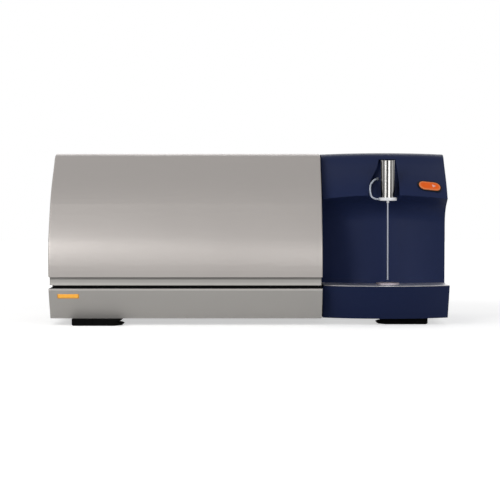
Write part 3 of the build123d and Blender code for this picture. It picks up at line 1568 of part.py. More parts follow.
# Valve manifold: long block with a row of solenoids standing on it
x_manifold, y_manifold = bay_place(manifold_share)
solenoid_pitch = manifold_width / solenoid_count
with BuildPart() as valve_manifold:
    with BuildSketch(Plane.XY.offset(z_deck)):
        with Locations((x_manifold, y_manifold)):
            RectangleRounded(manifold_width, manifold_depth, pump_edge)
    extrude(amount=manifold_height)
    with BuildSketch(Plane.XY.offset(z_deck + manifold_height)):
        with Locations((x_manifold, y_manifold)):
            with GridLocations(solenoid_pitch, 0, solenoid_count, 1):
                Circle(solenoid_radius)
    extrude(amount=solenoid_height)
    cap_edges = valve_manifold.edges().filter_by(GeomType.CIRCLE).group_by(Axis.Z)[-1]
    chamfer(cap_edges, length=solenoid_radius / 5)
valve_manifold.part.label = "valve_manifold"
export_step(valve_manifold.part, "parts/valve_manifold.step")

# Power supply: slotted sheet box with standoffs in its lid, which carry the main board
y_supply = y_panel_back - inlet_depth - supply_clear - supply_depth / 2
z_supply = z_deck + supply_height
slot_pitch = supply_depth / (supply_slots + 1)
with BuildPart() as power_supply:
    with BuildSketch(Plane.XY.offset(z_deck)):
        with Locations((x_supply, y_supply)):
            Rectangle(supply_width, supply_depth)
    extrude(amount=supply_height)
    with BuildSketch(Plane.XY.offset(z_deck + supply_wall)):
        with Locations((x_supply, y_supply)):
            Rectangle(supply_width - 2 * supply_wall, supply_depth - 2 * supply_wall)
    extrude(amount=supply_height - 2 * supply_wall, mode=Mode.SUBTRACT)
    with BuildSketch(Plane.YZ.offset(x_supply - supply_width / 2)):
        with Locations((y_supply, z_deck + supply_height / 2)):
            with GridLocations(slot_pitch, 0, supply_slots, 1):
                SlotOverall(supply_height / 2, supply_slot, rotation=90)
    extrude(amount=supply_wall, mode=Mode.SUBTRACT)
    with BuildSketch(Plane.XY.offset(z_supply)):
        with Locations((x_supply, y_supply)):
            with GridLocations(supply_width - 2 * board_inset, supply_depth - 2 * board_inset, 2, 2):
                Circle(standoff_radius)
    extrude(amount=board_gap)
power_supply.part.label = "power_supply"
export_step(power_supply.part, "parts/power_supply.step")

z_board = z_supply + board_gap
x_board = x_supply - supply_width / 2
y_board = y_supply - supply_depth / 2
with BuildPart() as main_board:
    with BuildSketch(Plane.XY.offset(z_board)):
        with Locations((x_supply, y_supply)):
            Rectangle(supply_width, supply_depth)
    extrude(amount=board_thickness)
    for chip_x, chip_y, wide, deep in chip_side_shares:
        with BuildSketch(Plane.XY.offset(z_board + board_thickness)):
            with Locations((x_board + chip_x * supply_width, y_board + chip_y * supply_depth)):
                Rectangle(wide * supply_width, deep * supply_depth)
        extrude(amount=chip_height)
    with BuildSketch(Plane.XY.offset(z_board + board_thickness)):
        with Locations((x_supply, y_supply + supply_depth / 2 - board_inset / 2)):
            Rectangle(supply_width - 2 * board_inset, board_inset)
    extrude(amount=plug_height)
main_board.part.label = "main_board"
export_step(main_board.part, "parts/main_board.step")

# Fan: frame with spokes behind the rear panel's grille, and a rotor of seven pitched blades
y_fan = y_panel - fan_depth
with BuildPart() as fan_frame:
    with BuildSketch(Plane.XZ.offset(-y_fan)):
        with Locations((x_fan, z_fan)):
            RectangleRounded(fan_side, fan_side, fan_corner)
            Circle(fan_bore, mode=Mode.SUBTRACT)
    extrude(amount=-fan_depth)
    with BuildSketch(Plane.XZ.offset(-y_fan)):
        with Locations((x_fan, z_fan)):
            Circle(fan_hub)
            Rectangle(2 * fan_bore + fan_spoke / 2, fan_spoke)
            Rectangle(fan_spoke, 2 * fan_bore + fan_spoke / 2)
    extrude(amount=-fan_stator)
    with BuildSketch(Plane.XZ.offset(-y_fan)):
        with Locations((x_fan, z_fan)):
            Circle(shaft_radius)
    extrude(amount=-fan_depth / 2)
fan_frame.part.label = "fan_frame"
export_step(fan_frame.part, "parts/fan_frame.step")

y_rotor = y_fan + fan_stator + 2 * fit_gap
rotor_depth = fan_depth - fan_stator - 6 * fit_gap
blade_reach = fan_blade_reach - fan_hub
blade_plane = Plane(origin=(x_fan, y_rotor + rotor_depth / 2, z_fan), x_dir=(1, 0, 0), z_dir=(0, -1, 0))
with BuildPart() as fan_rotor:
    with BuildSketch(blade_plane.offset(-rotor_depth / 2)):
        Circle(fan_hub)
    extrude(amount=rotor_depth)
    for blade in range(fan_blades):
        turn = 360 / fan_blades * blade
        outward = Vector(1, 0, 0).rotate(Axis.Y, turn)
        root = blade_plane.origin + outward * (fan_hub - fan_spoke)
        tip = blade_plane.origin + outward * fan_blade_reach
        root_plane = Plane(origin=root, x_dir=(0, 1, 0), z_dir=outward)
        tip_plane = Plane(origin=tip, x_dir=(0, 1, 0), z_dir=outward)
        with BuildSketch(root_plane):
            Rectangle(fan_blade_chord, fan_blade_thickness, rotation=fan_pitch)
        with BuildSketch(tip_plane):
            Rectangle(fan_blade_chord, fan_blade_thickness, rotation=fan_pitch / 2)
        loft()
    with BuildSketch(blade_plane.offset(rotor_depth / 2)):
        Circle(shaft_radius + pivot_gap)
    extrude(amount=-(fan_depth / 2 - fan_stator), mode=Mode.SUBTRACT)
fan_rotor.part.label = "fan_rotor"
export_step(fan_rotor.part, "parts/fan_rotor.step")

# Mains inlet: flanged socket with three pins, set into the rear panel
with BuildPart() as mains_inlet:
    with BuildSketch(Plane.XZ.offset(-y_panel_back - inlet_flange)):
        with Locations((x_inlet, z_fitting)):
            RectangleRounded(inlet_width, inlet_height + 2 * inlet_wall, inlet_wall)
    extrude(amount=inlet_flange)
    with BuildSketch(Plane.XZ.offset(-y_panel_back)):
        with Locations((x_inlet, z_fitting)):
            Rectangle(inlet_width - 2 * inlet_wall - 2 * snug_gap, inlet_height - 2 * snug_gap)
    extrude(amount=inlet_depth)
    with BuildSketch(Plane.XZ.offset(-y_panel_back - inlet_flange)):
        with Locations((x_inlet, z_fitting)):
            RectangleRounded(inlet_width - 5 * inlet_wall, inlet_height - 2 * inlet_wall, inlet_wall)
    extrude(amount=inlet_recess + inlet_flange, mode=Mode.SUBTRACT)
    with BuildSketch(Plane.XZ.offset(-y_panel_back + inlet_recess)):
        with Locations((x_inlet, z_fitting)):
            with GridLocations(inlet_pin_spread / 2, 0, 3, 1):
                Rectangle(inlet_pin, 2 * inlet_pin)
    extrude(amount=-inlet_recess)
mains_inlet.part.label = "mains_inlet"
export_step(mains_inlet.part, "parts/mains_inlet.step")

# Mains switch: framed rocker on a cross pin
with BuildPart() as switch_frame:
    with BuildSketch(Plane.XZ.offset(-y_panel_back - inlet_flange)):
        with Locations((x_switch, z_fitting)):
            RectangleRounded(switch_frame_width, switch_frame_height, inlet_flange)
    extrude(amount=inlet_flange)
    with BuildSketch(Plane.XZ.offset(-y_panel_back)):
        with Locations((x_switch, z_fitting)):
            Rectangle(switch_hole_width - 2 * snug_gap, switch_hole_height - 2 * snug_gap)
    extrude(amount=inlet_depth)
    with BuildSketch(Plane.XZ.offset(-y_panel_back - inlet_flange)):
        with Locations((x_switch, z_fitting)):
            Rectangle(rocker_width + 2 * fit_gap, rocker_height + 2 * fit_gap)
    extrude(amount=inlet_flange + inlet_depth - inlet_wall, mode=Mode.SUBTRACT)
    with BuildSketch(Plane.YZ.offset(x_switch - rocker_width / 2 - 2 * fit_gap)):
        with Locations((y_panel_back, z_fitting)):
            Circle(rocker_pin)
    extrude(amount=rocker_width + 4 * fit_gap)
switch_frame.part.label = "switch_frame"
export_step(switch_frame.part, "parts/switch_frame.step")

rocker_half = rocker_height / 2
with BuildPart() as mains_rocker:
    with BuildSketch(Plane.YZ.offset(x_switch - rocker_width / 2)):
        with BuildLine():
            rocker_low = (y_panel_back + inlet_flange, z_fitting - rocker_half + rocker_pin)
            rocker_high = (y_panel_back + inlet_flange + rocker_proud, z_fitting + rocker_half - rocker_pin)
            Polyline(
                rocker_low,
                (y_panel_back + inlet_flange, z_fitting),
                rocker_high,
                (y_panel_back - rocker_depth / 2, z_fitting + rocker_half / 2),
                (y_panel_back - rocker_depth / 2, z_fitting - rocker_half / 2),
                close=True,
            )
        make_face()
    extrude(amount=rocker_width)
    with BuildSketch(Plane.YZ.offset(x_switch - rocker_width / 2)):
        with Locations((y_panel_back, z_fitting)):
            Circle(rocker_pin + pivot_gap)
    extrude(amount=rocker_width, mode=Mode.SUBTRACT)
mains_rocker.part.label = "mains_rocker"
export_step(mains_rocker.part, "parts/mains_rocker.step")

# Data ports: shell with two recessed sockets
with BuildPart() as data_ports:
    with BuildSketch(Plane.XZ.offset(-y_panel_back)):
        with Locations((x_port, z_fitting)):
            Rectangle(port_width - 2 * snug_gap, port_height - 2 * snug_gap)
    extrude(amount=port_depth)
    with BuildSketch(Plane.XZ.offset(-y_panel_back)):
        with Locations((x_port, z_fitting)):
            with GridLocations(port_width / 2, 0, 2, 1):
                Rectangle(port_width / 3, port_height / 2)
    extrude(amount=port_recess, mode=Mode.SUBTRACT)
data_ports.part.label = "data_ports"
export_step(data_ports.part, "parts/data_ports.step")

# Tube bulkheads: bored fittings with a hexagon nut and a hose barb outside the rear panel
with BuildPart() as tube_bulkheads:
    for x_bulkhead in x_bulkheads:
        with BuildSketch(Plane.XZ.offset(-y_panel + bulkhead_inside)):
            with Locations((x_bulkhead, z_fitting)):
                Circle(bulkhead_radius - snug_gap)
        extrude(amount=-bulkhead_inside - panel_thickness)
        with BuildSketch(Plane.XZ.offset(-y_panel_back)):
            with Locations((x_bulkhead, z_fitting)):
                RegularPolygon(bulkhead_nut, 6)
        extrude(amount=-bulkhead_nut_width)
        with BuildSketch(Plane.XZ.offset(-y_panel_back - bulkhead_nut_width)):
            with Locations((x_bulkhead, z_fitting)):
                Circle(bulkhead_barb)
        extrude(amount=-(niche_depth - panel_thickness - bulkhead_nut_width))
        with BuildSketch(Plane.XZ.offset(-y_rear)):
            with Locations((x_bulkhead, z_fitting)):
                Circle(bulkhead_bore)
        extrude(amount=niche_depth + bulkhead_inside, mode=Mode.SUBTRACT)
tube_bulkheads.part.label = "tube_bulkheads"
export_step(tube_bulkheads.part, "parts/tube_bulkheads.step")
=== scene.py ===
import math

import bmesh
import bpy
from bpy.props import FloatProperty, FloatVectorProperty, PointerProperty
from mathutils import Matrix, Vector


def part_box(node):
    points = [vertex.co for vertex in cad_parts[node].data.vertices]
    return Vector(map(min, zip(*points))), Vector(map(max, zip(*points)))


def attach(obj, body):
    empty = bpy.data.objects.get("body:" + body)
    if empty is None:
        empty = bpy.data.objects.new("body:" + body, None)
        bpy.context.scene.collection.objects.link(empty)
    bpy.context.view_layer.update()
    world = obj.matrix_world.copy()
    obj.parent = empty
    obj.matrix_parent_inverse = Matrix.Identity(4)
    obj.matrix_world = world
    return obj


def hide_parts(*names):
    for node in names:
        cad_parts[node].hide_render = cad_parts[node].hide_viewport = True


bl_info = {
    "name": "Milk analyzer",
    "version": (1, 0, 0),
    "blender": (4, 5, 0),
    "location": "View3D > Sidebar > Analyzer",
    "description": "Finishes and small fittings of a bench-top milk analyzer, and a studio for it",
    "category": "Object",
}

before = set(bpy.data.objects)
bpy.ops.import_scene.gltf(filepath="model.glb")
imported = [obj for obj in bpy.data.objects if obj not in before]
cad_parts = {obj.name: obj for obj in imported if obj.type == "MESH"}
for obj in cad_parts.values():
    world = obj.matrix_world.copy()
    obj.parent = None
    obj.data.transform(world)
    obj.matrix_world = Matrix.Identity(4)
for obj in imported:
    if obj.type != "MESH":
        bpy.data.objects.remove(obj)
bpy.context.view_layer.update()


# Node trees, for finishes, for repeated shapes and for the surround


class Signal:
    """A socket that adds a Math node when it is used in an expression"""

    def __init__(self, tree, socket):
        self.tree = tree
        self.socket = socket

    def __add__(self, other):
        return self.tree.math("ADD", self, other)

    def __sub__(self, other):
        return self.tree.math("SUBTRACT", self, other)

    def __rsub__(self, other):
        return self.tree.math("SUBTRACT", other, self)

    def __mul__(self, other):
        return self.tree.math("MULTIPLY", self, other)

    def __truediv__(self, other):
        return self.tree.math("DIVIDE", self, other)

    def __rtruediv__(self, other):
        return self.tree.math("DIVIDE", other, self)

    def __pow__(self, other):
        return self.tree.math("POWER", self, other)

    def __mod__(self, other):
        return self.tree.math("FLOORED_MODULO", self, other)

    def __abs__(self):
        return self.tree.math("ABSOLUTE", self)

    __radd__ = __add__
    __rmul__ = __mul__


class Tree:
    """Nodes and the links between them"""

    def __init__(self, tree):
        self.nodes = tree.nodes
        self.links = tree.links
        self.nodes.clear()

    def feed(self, socket, value):
        if isinstance(value, Signal):
            self.links.new(value.socket, socket)
        else:
            socket.default_value = value

    def node(self, kind, choices=None, sockets=None, output=0):
        """Adds one node and gives the signal of one of its outputs"""
        made = self.nodes.new(kind)
        for name, value in (choices or {}).items():
            setattr(made, name, value)
        for name, value in (sockets or {}).items():
            self.feed(made.inputs[name], value)
        return Signal(self, made.outputs[output])

    def math(self, operation, first, second=0.0):
        return self.node("ShaderNodeMath", {"operation": operation}, {0: first, 1: second})

    def between(self, value, low, high, out_low=0.0, out_high=1.0):
        """Maps a range of a signal onto another range, held at its ends"""
        sockets = {0: value, 1: low, 2: high, 3: out_low, 4: out_high}
        return self.node("ShaderNodeMapRange", {"interpolation_type": "SMOOTHSTEP"}, sockets)

    def part(self, vector, axis):
        return self.node("ShaderNodeSeparateXYZ", None, {0: vector}, axis)

    def vector_math(self, operation, first, second, output=0):
        return self.node("ShaderNodeVectorMath", {"operation": operation}, {0: first, 1: second}, output)

    def rays(self):
        """Masks for what the camera sees, what is seen in reflections and what is seen through glass"""
        kinds = ("Is Camera Ray", "Is Glossy Ray", "Is Transmission Ray")
        return [self.node("ShaderNodeLightPath", output=kind) for kind in kinds]


class Finish(Tree):
    """One material, built from nodes"""

    def __init__(self, name, **sockets):
        self.material = bpy.data.materials.new(name)
        self.material.use_nodes = True
        super().__init__(self.material.node_tree)
        self.surface = self.nodes.new("ShaderNodeBsdfPrincipled")
        output = self.nodes.new("ShaderNodeOutputMaterial")
        self.links.new(self.surface.outputs[0], output.inputs["Surface"])
        self.where = self.node("ShaderNodeTexCoord", output="Object")
        self.set(**sockets)

    def set(self, **sockets):
        """Gives the surface's sockets their values or signals, as in base_color=..., roughness=..."""
        for name, value in sockets.items():
            self.feed(self.surface.inputs[name.replace("_", " ").title().replace("Ior", "IOR")], value)

    def mix(self, mask, low, high):
        """A colour between two, by a mask"""
        return self.node("ShaderNodeMix", {"data_type": "RGBA"}, {0: mask, 6: low, 7: high}, 2)

    def tone(self, mask, rgb, darkest, lightest):
        """Base colour between a darker and a lighter version of a colour, by a mask"""
        self.tint = self.mix(mask, shade(rgb, darkest), shade(rgb, lightest))
        self.set(base_color=self.tint)

    def dull(self, mask, least, most, low=0.3, high=0.7):
        """Roughness between two values, where a mask goes from low to high"""
        self.set(roughness=self.between(mask, low, high, least, most))

    def bump(self, height, distance):
        """A relief from a height signal"""
        self.set(normal=self.node("ShaderNodeBump", None, {"Height": height, "Distance": distance}))

    def noise(self, scale, detail=2.0, where=None, roughness=0.5):
        sockets = {"Vector": where or self.where, "Scale": scale, "Detail": detail, "Roughness": roughness}
        return self.node("ShaderNodeTexNoise", None, sockets)

    def cells(self, scale, feature="F1", output="Distance"):
        sockets = {"Vector": self.where, "Scale": scale}
        return self.node("ShaderNodeTexVoronoi", {"feature": feature}, sockets, output)

    def axis(self, name):
        return self.part(self.where, name)

    def past(self, name, place, blend):
        """A mask that goes from 0 to 1 where a coordinate runs from a place over a blend, forwards or back"""
        return self.between(self.axis(name), place, place + blend)

    def away(self, centre):
        """Distance from an upright line"""
        x, y = self.axis("X") - centre[0], self.axis("Y") - centre[1]
        return (x * x + y * y) ** 0.5


class Growth(Tree):
    """One Geometry Nodes tree with named inputs"""

    def __init__(self, name, **inputs):
        self.group = bpy.data.node_groups.new(name, "GeometryNodeTree")
        super().__init__(self.group)
        face = self.group.interface
        face.new_socket("Geometry", in_out="INPUT", socket_type="NodeSocketGeometry")
        for label, (kind, value) in inputs.items():
            title = label.replace("_", " ").capitalize()
            made = face.new_socket(title, in_out="INPUT", socket_type="NodeSocket" + kind)
            if value is not None:
                made.default_value = value
        face.new_socket("Geometry", in_out="OUTPUT", socket_type="NodeSocketGeometry")
        self.given = self.nodes.new("NodeGroupInput")

    def input(self, label):
        return Signal(self, self.given.outputs[label])

    def end(self, geometry, finish=True):
        """Makes the copies real, gives them the material input and joins the output"""
        if finish:
            real = self.node("GeometryNodeRealizeInstances", None, {0: geometry})
            sockets = {"Geometry": real, "Material": self.input("Material")}
            geometry = self.node("GeometryNodeSetMaterial", None, sockets)
        output = self.nodes.new("NodeGroupOutput")
        self.links.new(geometry.socket, output.inputs[0])

    def modify(self, made, **values):
        """Puts this tree on an object as a modifier, with its inputs set"""
        modifier = made.modifiers.new(self.group.name, "NODES")
        modifier.node_group = self.group
        for item in self.group.interface.items_tree:
            key = item.name.lower().replace(" ", "_")
            if item.in_out == "INPUT" and key in values:
                modifier[item.identifier] = values[key]
        return modifier


def color(*rgb):
    """A colour with full alpha"""
    return (*rgb, 1.0)


def shade(rgb, factor):
    """A lighter or darker version of a colour"""
    return color(*[min(1.0, part * factor) for part in rgb])


def box_axis(node):
    """Where the upright line through the middle of a node's box stands"""
    low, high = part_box(node)
    return (low.x + high.x) / 2, (low.y + high.y) / 2


# Finishes


def moulded(name, rgb, roughness=0.5, grain=900.0, depth=0.00004, specular=0.5):
    """Moulded plastic with a fine eroded texture"""
    finish = Finish(name, specular_ior_level=specular)
    patches = finish.noise(14.0, detail=3.0)
    finish.tone(patches, rgb, 0.97, 1.03)
    finish.dull(patches, roughness - 0.015, roughness + 0.015)
    finish.bump(finish.noise(grain), depth)
    return finish


def painted(name, rgb, roughness=0.42, metallic=0.0, peel=0.00003, specular=0.5):
    """Sprayed paint: a slight orange peel, and flakes that vary its shade a little"""
    finish = Finish(name, specular_ior_level=specular, metallic=metallic)
    finish.tone(finish.noise(1800.0, detail=1.0), rgb, 0.95, 1.05)
    finish.dull(finish.noise(6.0, detail=3.0), roughness - 0.02, roughness + 0.03)
    finish.bump(finish.noise(420.0), peel)
    return finish


def brushed(name, rgb, roughness=0.3, stretch=(2.0, 500.0, 500.0)):
    """Sheet metal brushed one way"""
    finish = Finish(name, metallic=1.0)
    along = finish.node("ShaderNodeMapping", None, {"Vector": finish.where, "Scale": stretch})
    lines = finish.noise(1.0, detail=4.0, where=along, roughness=0.6)
    patches = finish.noise(9.0, detail=3.0)
    finish.tone(lines, rgb, 0.86, 1.1)
    finish.dull(lines + patches * 0.5, roughness - 0.05, roughness + 0.09, 0.45, 1.05)
    finish.bump(lines, 0.00002)
    return finish


def galvanised(name, rgb, roughness=0.38):
    """Zinc-plated sheet, with the faint spangle of its crystals"""
    finish = Finish(name, metallic=1.0)
    spangle = finish.part(finish.cells(70.0, output="Color"), 0)
    cloud = finish.noise(16.0, detail=4.0)
    finish.tone(spangle * 0.5 + cloud * 0.5, rgb, 0.88, 1.1)
    finish.dull(spangle + cloud, roughness - 0.06, roughness + 0.08, 0.5, 1.5)
    finish.bump(finish.noise(260.0, detail=3.0), 0.00001)
    return finish


def turned(name, rgb, centre, roughness):
    """Metal turned on a lathe: fine rings round an upright axis"""
    pitch = 0.0006
    finish = Finish(name, metallic=1.0)
    rings = finish.math("SINE", finish.away(centre) * (2 * math.pi / pitch))
    wander = finish.noise(60.0, detail=3.0)
    finish.tone(wander, rgb, 0.9, 1.08)
    finish.dull(rings + wander, roughness - 0.05, roughness + 0.08, -0.5, 1.5)
    finish.bump(rings, 0.000012)
    return finish


def cast(name, rgb, roughness=0.55):
    """Sand-cast or blasted metal with a grainy skin"""
    finish = Finish(name, metallic=1.0)
    grain = finish.noise(520.0, detail=4.0)
    finish.tone(finish.noise(18.0, detail=4.0), rgb, 0.8, 1.12)
    finish.dull(grain, roughness - 0.08, roughness + 0.08)
    finish.bump(grain, 0.00012)
    return finish


def rubbery(name, rgb, roughness=0.75, specular=0.3):
    """Rubber: dull, with faint bloom and a fine grain"""
    finish = Finish(name, specular_ior_level=specular)
    bloom = finish.noise(35.0, detail=5.0)
    finish.tone(bloom, rgb, 0.8, 1.4)
    finish.dull(bloom, roughness - 0.06, roughness + 0.08)
    finish.bump(finish.noise(1100.0), 0.00005)
    return finish


def drawn_tube(name, rgb, node, dark, roughness=0.24):
    """Bright steel tube polished along its length, with painted reflections: light and dark streaks painted
    up its outside
    """
    low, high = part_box(node)
    centre, radius = box_axis(node), (high.x - low.x) / 2
    streaks, wave_count, first_wave, wander = 3.2, 12.0, math.radians(82.5), 0.05
    broad_share, fine_share, wave_share, edge, edge_blend = 0.4, 0.2, 0.12, 0.0006, 0.0004
    finish = Finish(name, metallic=1.0)
    angle = finish.math("ARCTAN2", finish.axis("Y") - centre[1], finish.axis("X") - centre[0])
    round_it = finish.node("ShaderNodeCombineXYZ", None, {0: angle, 1: finish.axis("Z") * wander})
    broad = finish.noise(streaks, detail=2.0, where=round_it, roughness=0.6)
    fine = finish.noise(streaks * 12.0, detail=3.0, where=round_it, roughness=0.7)
    waves = finish.math("COSINE", (angle + first_wave) * wave_count)
    mixed = broad * broad_share + fine * fine_share + waves * wave_share
    # Painted reflections: dark and light bands of base colour round the outside stand in for the lamps and
    # surroundings reflected in the tube
    painted_reflections = 1.0 - finish.between(mixed, 0.18, 0.42)
    outside = finish.between(finish.away(centre), radius - edge, radius - edge + edge_blend)
    finish.set(base_color=finish.mix(painted_reflections * outside, color(*rgb), shade(rgb, dark)))
    finish.dull(fine, roughness - 0.06, roughness + 0.1)
    finish.bump(fine, 0.000008)
    return finish


def circuit(name, rgb):
    """Circuit board: green mask over copper runs and rows of pads"""
    finish = Finish(name)
    runs = finish.cells(170.0, "DISTANCE_TO_EDGE")
    pads = finish.cells(420.0)
    mask = finish.between(runs, 0.02, 0.05) * finish.between(pads, 0.12, 0.2)
    finish.set(base_color=finish.mix(mask, shade(rgb, 1.9), color(*rgb)))
    finish.dull(mask, 0.3, 0.42, 0.0, 1.0)
    finish.bump(1.0 - mask, 0.00003)
    return finish


def clear_tube(name, rgb):
    """Pale translucent hose"""
    finish = Finish(name, transmission_weight=0.3, ior=1.4)
    haze = finish.noise(120.0, detail=3.0)
    finish.tone(haze, rgb, 0.94, 1.05)
    finish.dull(haze, 0.18, 0.3)
    return finish


def lit_lens(name, rgb, glow):
    """Amber diffuser, lit from behind by a row of small lamps"""
    low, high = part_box("status_light_lens")
    lamp_count, edge, end_share = 4, 0.004, 0.09
    finish = Finish(name, roughness=0.3, emission_strength=0.62, specular_ior_level=0.3)
    along = (finish.axis("X") - low.x) / (high.x - low.x)
    lamps = finish.math("COSINE", along * (2 * math.pi * lamp_count))
    rims = finish.past("Z", high.z, -edge) * finish.past("Z", low.z, edge)
    ends = finish.between(along, 0.0, end_share) * finish.between(along, 1.0, 1.0 - end_share)
    warm = finish.between(rims * ends * (0.9 - 0.1 * lamps), 0.0, 1.0)
    finish.set(base_color=finish.mix(warm, shade(rgb, 0.75), color(*rgb)))
    finish.set(emission_color=finish.mix(warm, shade(glow, 0.4), color(*glow)))
    finish.bump(finish.noise(700.0, detail=1.0), 0.00002)
    return finish


def bead_window(name, rgb, bead):
    """White cartridge with a clear band that shows its drying beads"""
    low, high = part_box("desiccant_cartridge")
    window_low, window_high, blend = 0.22, 0.66, 0.02
    finish = Finish(name)
    beads = finish.cells(420.0)
    height = (finish.axis("Z") - low.z) / (high.z - low.z)
    above = finish.between(height, window_low, window_low + blend)
    band = above * finish.between(height, window_high, window_high - blend)
    inside = finish.mix(finish.between(beads, 0.2, 0.6), shade(bead, 1.3), shade(bead, 0.35))
    finish.set(base_color=finish.mix(band, color(*rgb), inside))
    finish.dull(band, 0.42, 0.16, 0.0, 1.0)
    finish.bump(beads * band, 0.0003)
    return finish


def cap_frame():
    """The start button's flat face, from its mesh: centre, outward, long and short directions, half sizes"""
    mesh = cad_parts["start_button"].data
    facing_front = -0.2
    areas = {}
    for face in mesh.polygons:
        if face.normal.y < facing_front:
            key = tuple(round(part, 2) for part in face.normal)
            areas.setdefault(key, []).append(face)
    faces = max(areas.values(), key=lambda found: sum(face.area for face in found))
    whole = sum(face.area for face in faces)
    centre = sum((face.center * face.area for face in faces), Vector()) / whole
    outward = sum((face.normal * face.area for face in faces), Vector()).normalized()
    corners = [mesh.vertices[i].co - centre for face in faces for i in face.vertices]
    along = max(corners, key=lambda corner: corner.length).normalized()
    along = along if along.x > 0 else -along
    across = outward.cross(along).normalized()
    long_half = max(abs(corner.dot(along)) for corner in corners)
    short_half = max(abs(corner.dot(across)) for corner in corners)
    return centre, outward, along, across, long_half, short_half


def button_cap(name, field, rim):
    """Orange cap: a paler rim round a deeper field, with a fine groove between them"""
    centre, outward, along, across, long_half, short_half = cap_frame()
    field_edge, groove_line = 0.62 * short_half, 0.6 * short_half
    groove_core, groove_wall = 0.0002, 0.0009
    finish = Finish(name, specular_ior_level=0.2)
    place = finish.vector_math("SUBTRACT", finish.where, centre)
    lengthwise = abs(finish.vector_math("DOT_PRODUCT", place, along, "Value"))
    over = finish.math("MAXIMUM", lengthwise - (long_half - short_half), 0.0)
    side = finish.vector_math("DOT_PRODUCT", place, across, "Value")
    reach = (over * over + side * side) ** 0.5
    edge = finish.between(reach, field_edge, short_half)
    groove = finish.between(abs(reach - groove_line), groove_core, groove_wall)
    warm = finish.mix(finish.noise(90.0), shade(field, 0.9), shade(field, 1.15))
    finish.set(base_color=finish.mix(edge, warm, color(*rim)))
    finish.dull(edge, 0.42, 0.3, 0.0, 1.0)
    finish.bump(groove, 0.0002)
    return finish


# Shapes


def settings(name):
    return getattr(bpy.context.scene, "milk_analyzer_" + name)


def dress(finish, *nodes):
    """Gives CAD nodes a finish"""
    for name in nodes:
        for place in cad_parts[name].material_slots:
            place.material = finish.material


def linked(name, data):
    """A new object in the scene"""
    made = bpy.data.objects.new(name, data)
    bpy.context.scene.collection.objects.link(made)
    return made


def show(name, mesh, finish, body):
    """An object for a finished mesh, riding on a body"""
    made = linked(name, mesh)
    mesh.materials.clear()
    mesh.materials.append(finish.material)
    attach(made, body)
    return made


def grow(growth, name, mesh, finish, **values):
    """Runs a Geometry Nodes tree on points or paths, and shows the plain mesh that it gives on the frame"""
    source = linked(name + "_source", mesh)
    modifier = growth.modify(source, material=finish.material, **values)
    graph = bpy.context.evaluated_depsgraph_get()
    result = bpy.data.meshes.new_from_object(source.evaluated_get(graph), depsgraph=graph)
    source.modifiers.remove(modifier)
    bpy.data.objects.remove(source)
    result.name = name
    return show(name, result, finish, "frame")


def points_mesh(name, points):
    """A mesh of loose points, each with the direction that it faces"""
    mesh = bpy.data.meshes.new(name)
    mesh.from_pydata([place for place, facing in points], [], [])
    facing = mesh.attributes.new("facing", "FLOAT_VECTOR", "POINT")
    for item, (place, direction) in zip(facing.data, points):
        item.vector = direction
    return mesh


def path_mesh(name, paths, closed=False):
    """A mesh of open or closed paths of points"""
    points, edges = [], []
    for path in paths:
        start = len(points)
        points += path
        edges += [(start + i, start + i + 1) for i in range(len(path) - 1)]
        edges += [(len(points) - 1, start)] if closed else []
    mesh = bpy.data.meshes.new(name)
    mesh.from_pydata(points, edges, [])
    return mesh


def circle(radius, height, sides):
    """Points of a level ring round the origin"""
    turns = [2 * math.pi * step / sides for step in range(sides)]
    return [Vector((radius * math.cos(turn), radius * math.sin(turn), height)) for turn in turns]


def lathed(bm, profile, base, sides=28):
    """Turns a profile of (radius, height) pairs about an upright axis through base, and adds it to a mesh"""
    rings = []
    for radius, height in profile:
        spots = circle(radius, height, sides) if radius else [Vector((0, 0, height))]
        rings.append([bm.verts.new(base + spot) for spot in spots])
    for lower, upper in zip(rings, rings[1:]):
        for i in range(sides):
            j = (i + 1) % sides
            low_pair = (lower[i % len(lower)], lower[j % len(lower)])
            high_pair = (upper[j % len(upper)], upper[i % len(upper)])
            bm.faces.new(list(dict.fromkeys(low_pair + high_pair)))


def block(bm, low, high, edge=0.0003):
    """Adds a box with small rounded edges"""
    made = bmesh.ops.create_cube(bm, size=1.0)["verts"]
    size, middle = Vector(high) - Vector(low), (Vector(high) + Vector(low)) / 2
    bmesh.ops.transform(bm, matrix=Matrix.Translation(middle) @ Matrix.Diagonal((*size, 1)), verts=made)
    edges = list({link for vert in made for link in vert.link_edges})
    bmesh.ops.bevel(bm, geom=edges, offset=edge, segments=2, affect="EDGES", profile=0.5)


def shown_mesh(name, bm, finish, body, smooth=35.0):
    """Shows a mesh whose faces are smooth up to an angle in degrees"""
    bmesh.ops.recalc_face_normals(bm, faces=bm.faces)
    for face in bm.faces:
        face.smooth = True
    for edge in bm.edges:
        edge.smooth = edge.calc_face_angle(0.0) < math.radians(smooth)
    mesh = bpy.data.meshes.new(name)
    bm.to_mesh(mesh)
    bm.free()
    return show(name, mesh, finish, body)


def spread(low, high, count):
    """Evenly spaced values from low to high"""
    return [low + (high - low) * step / (count - 1) for step in range(count)]


# Trees for what repeats


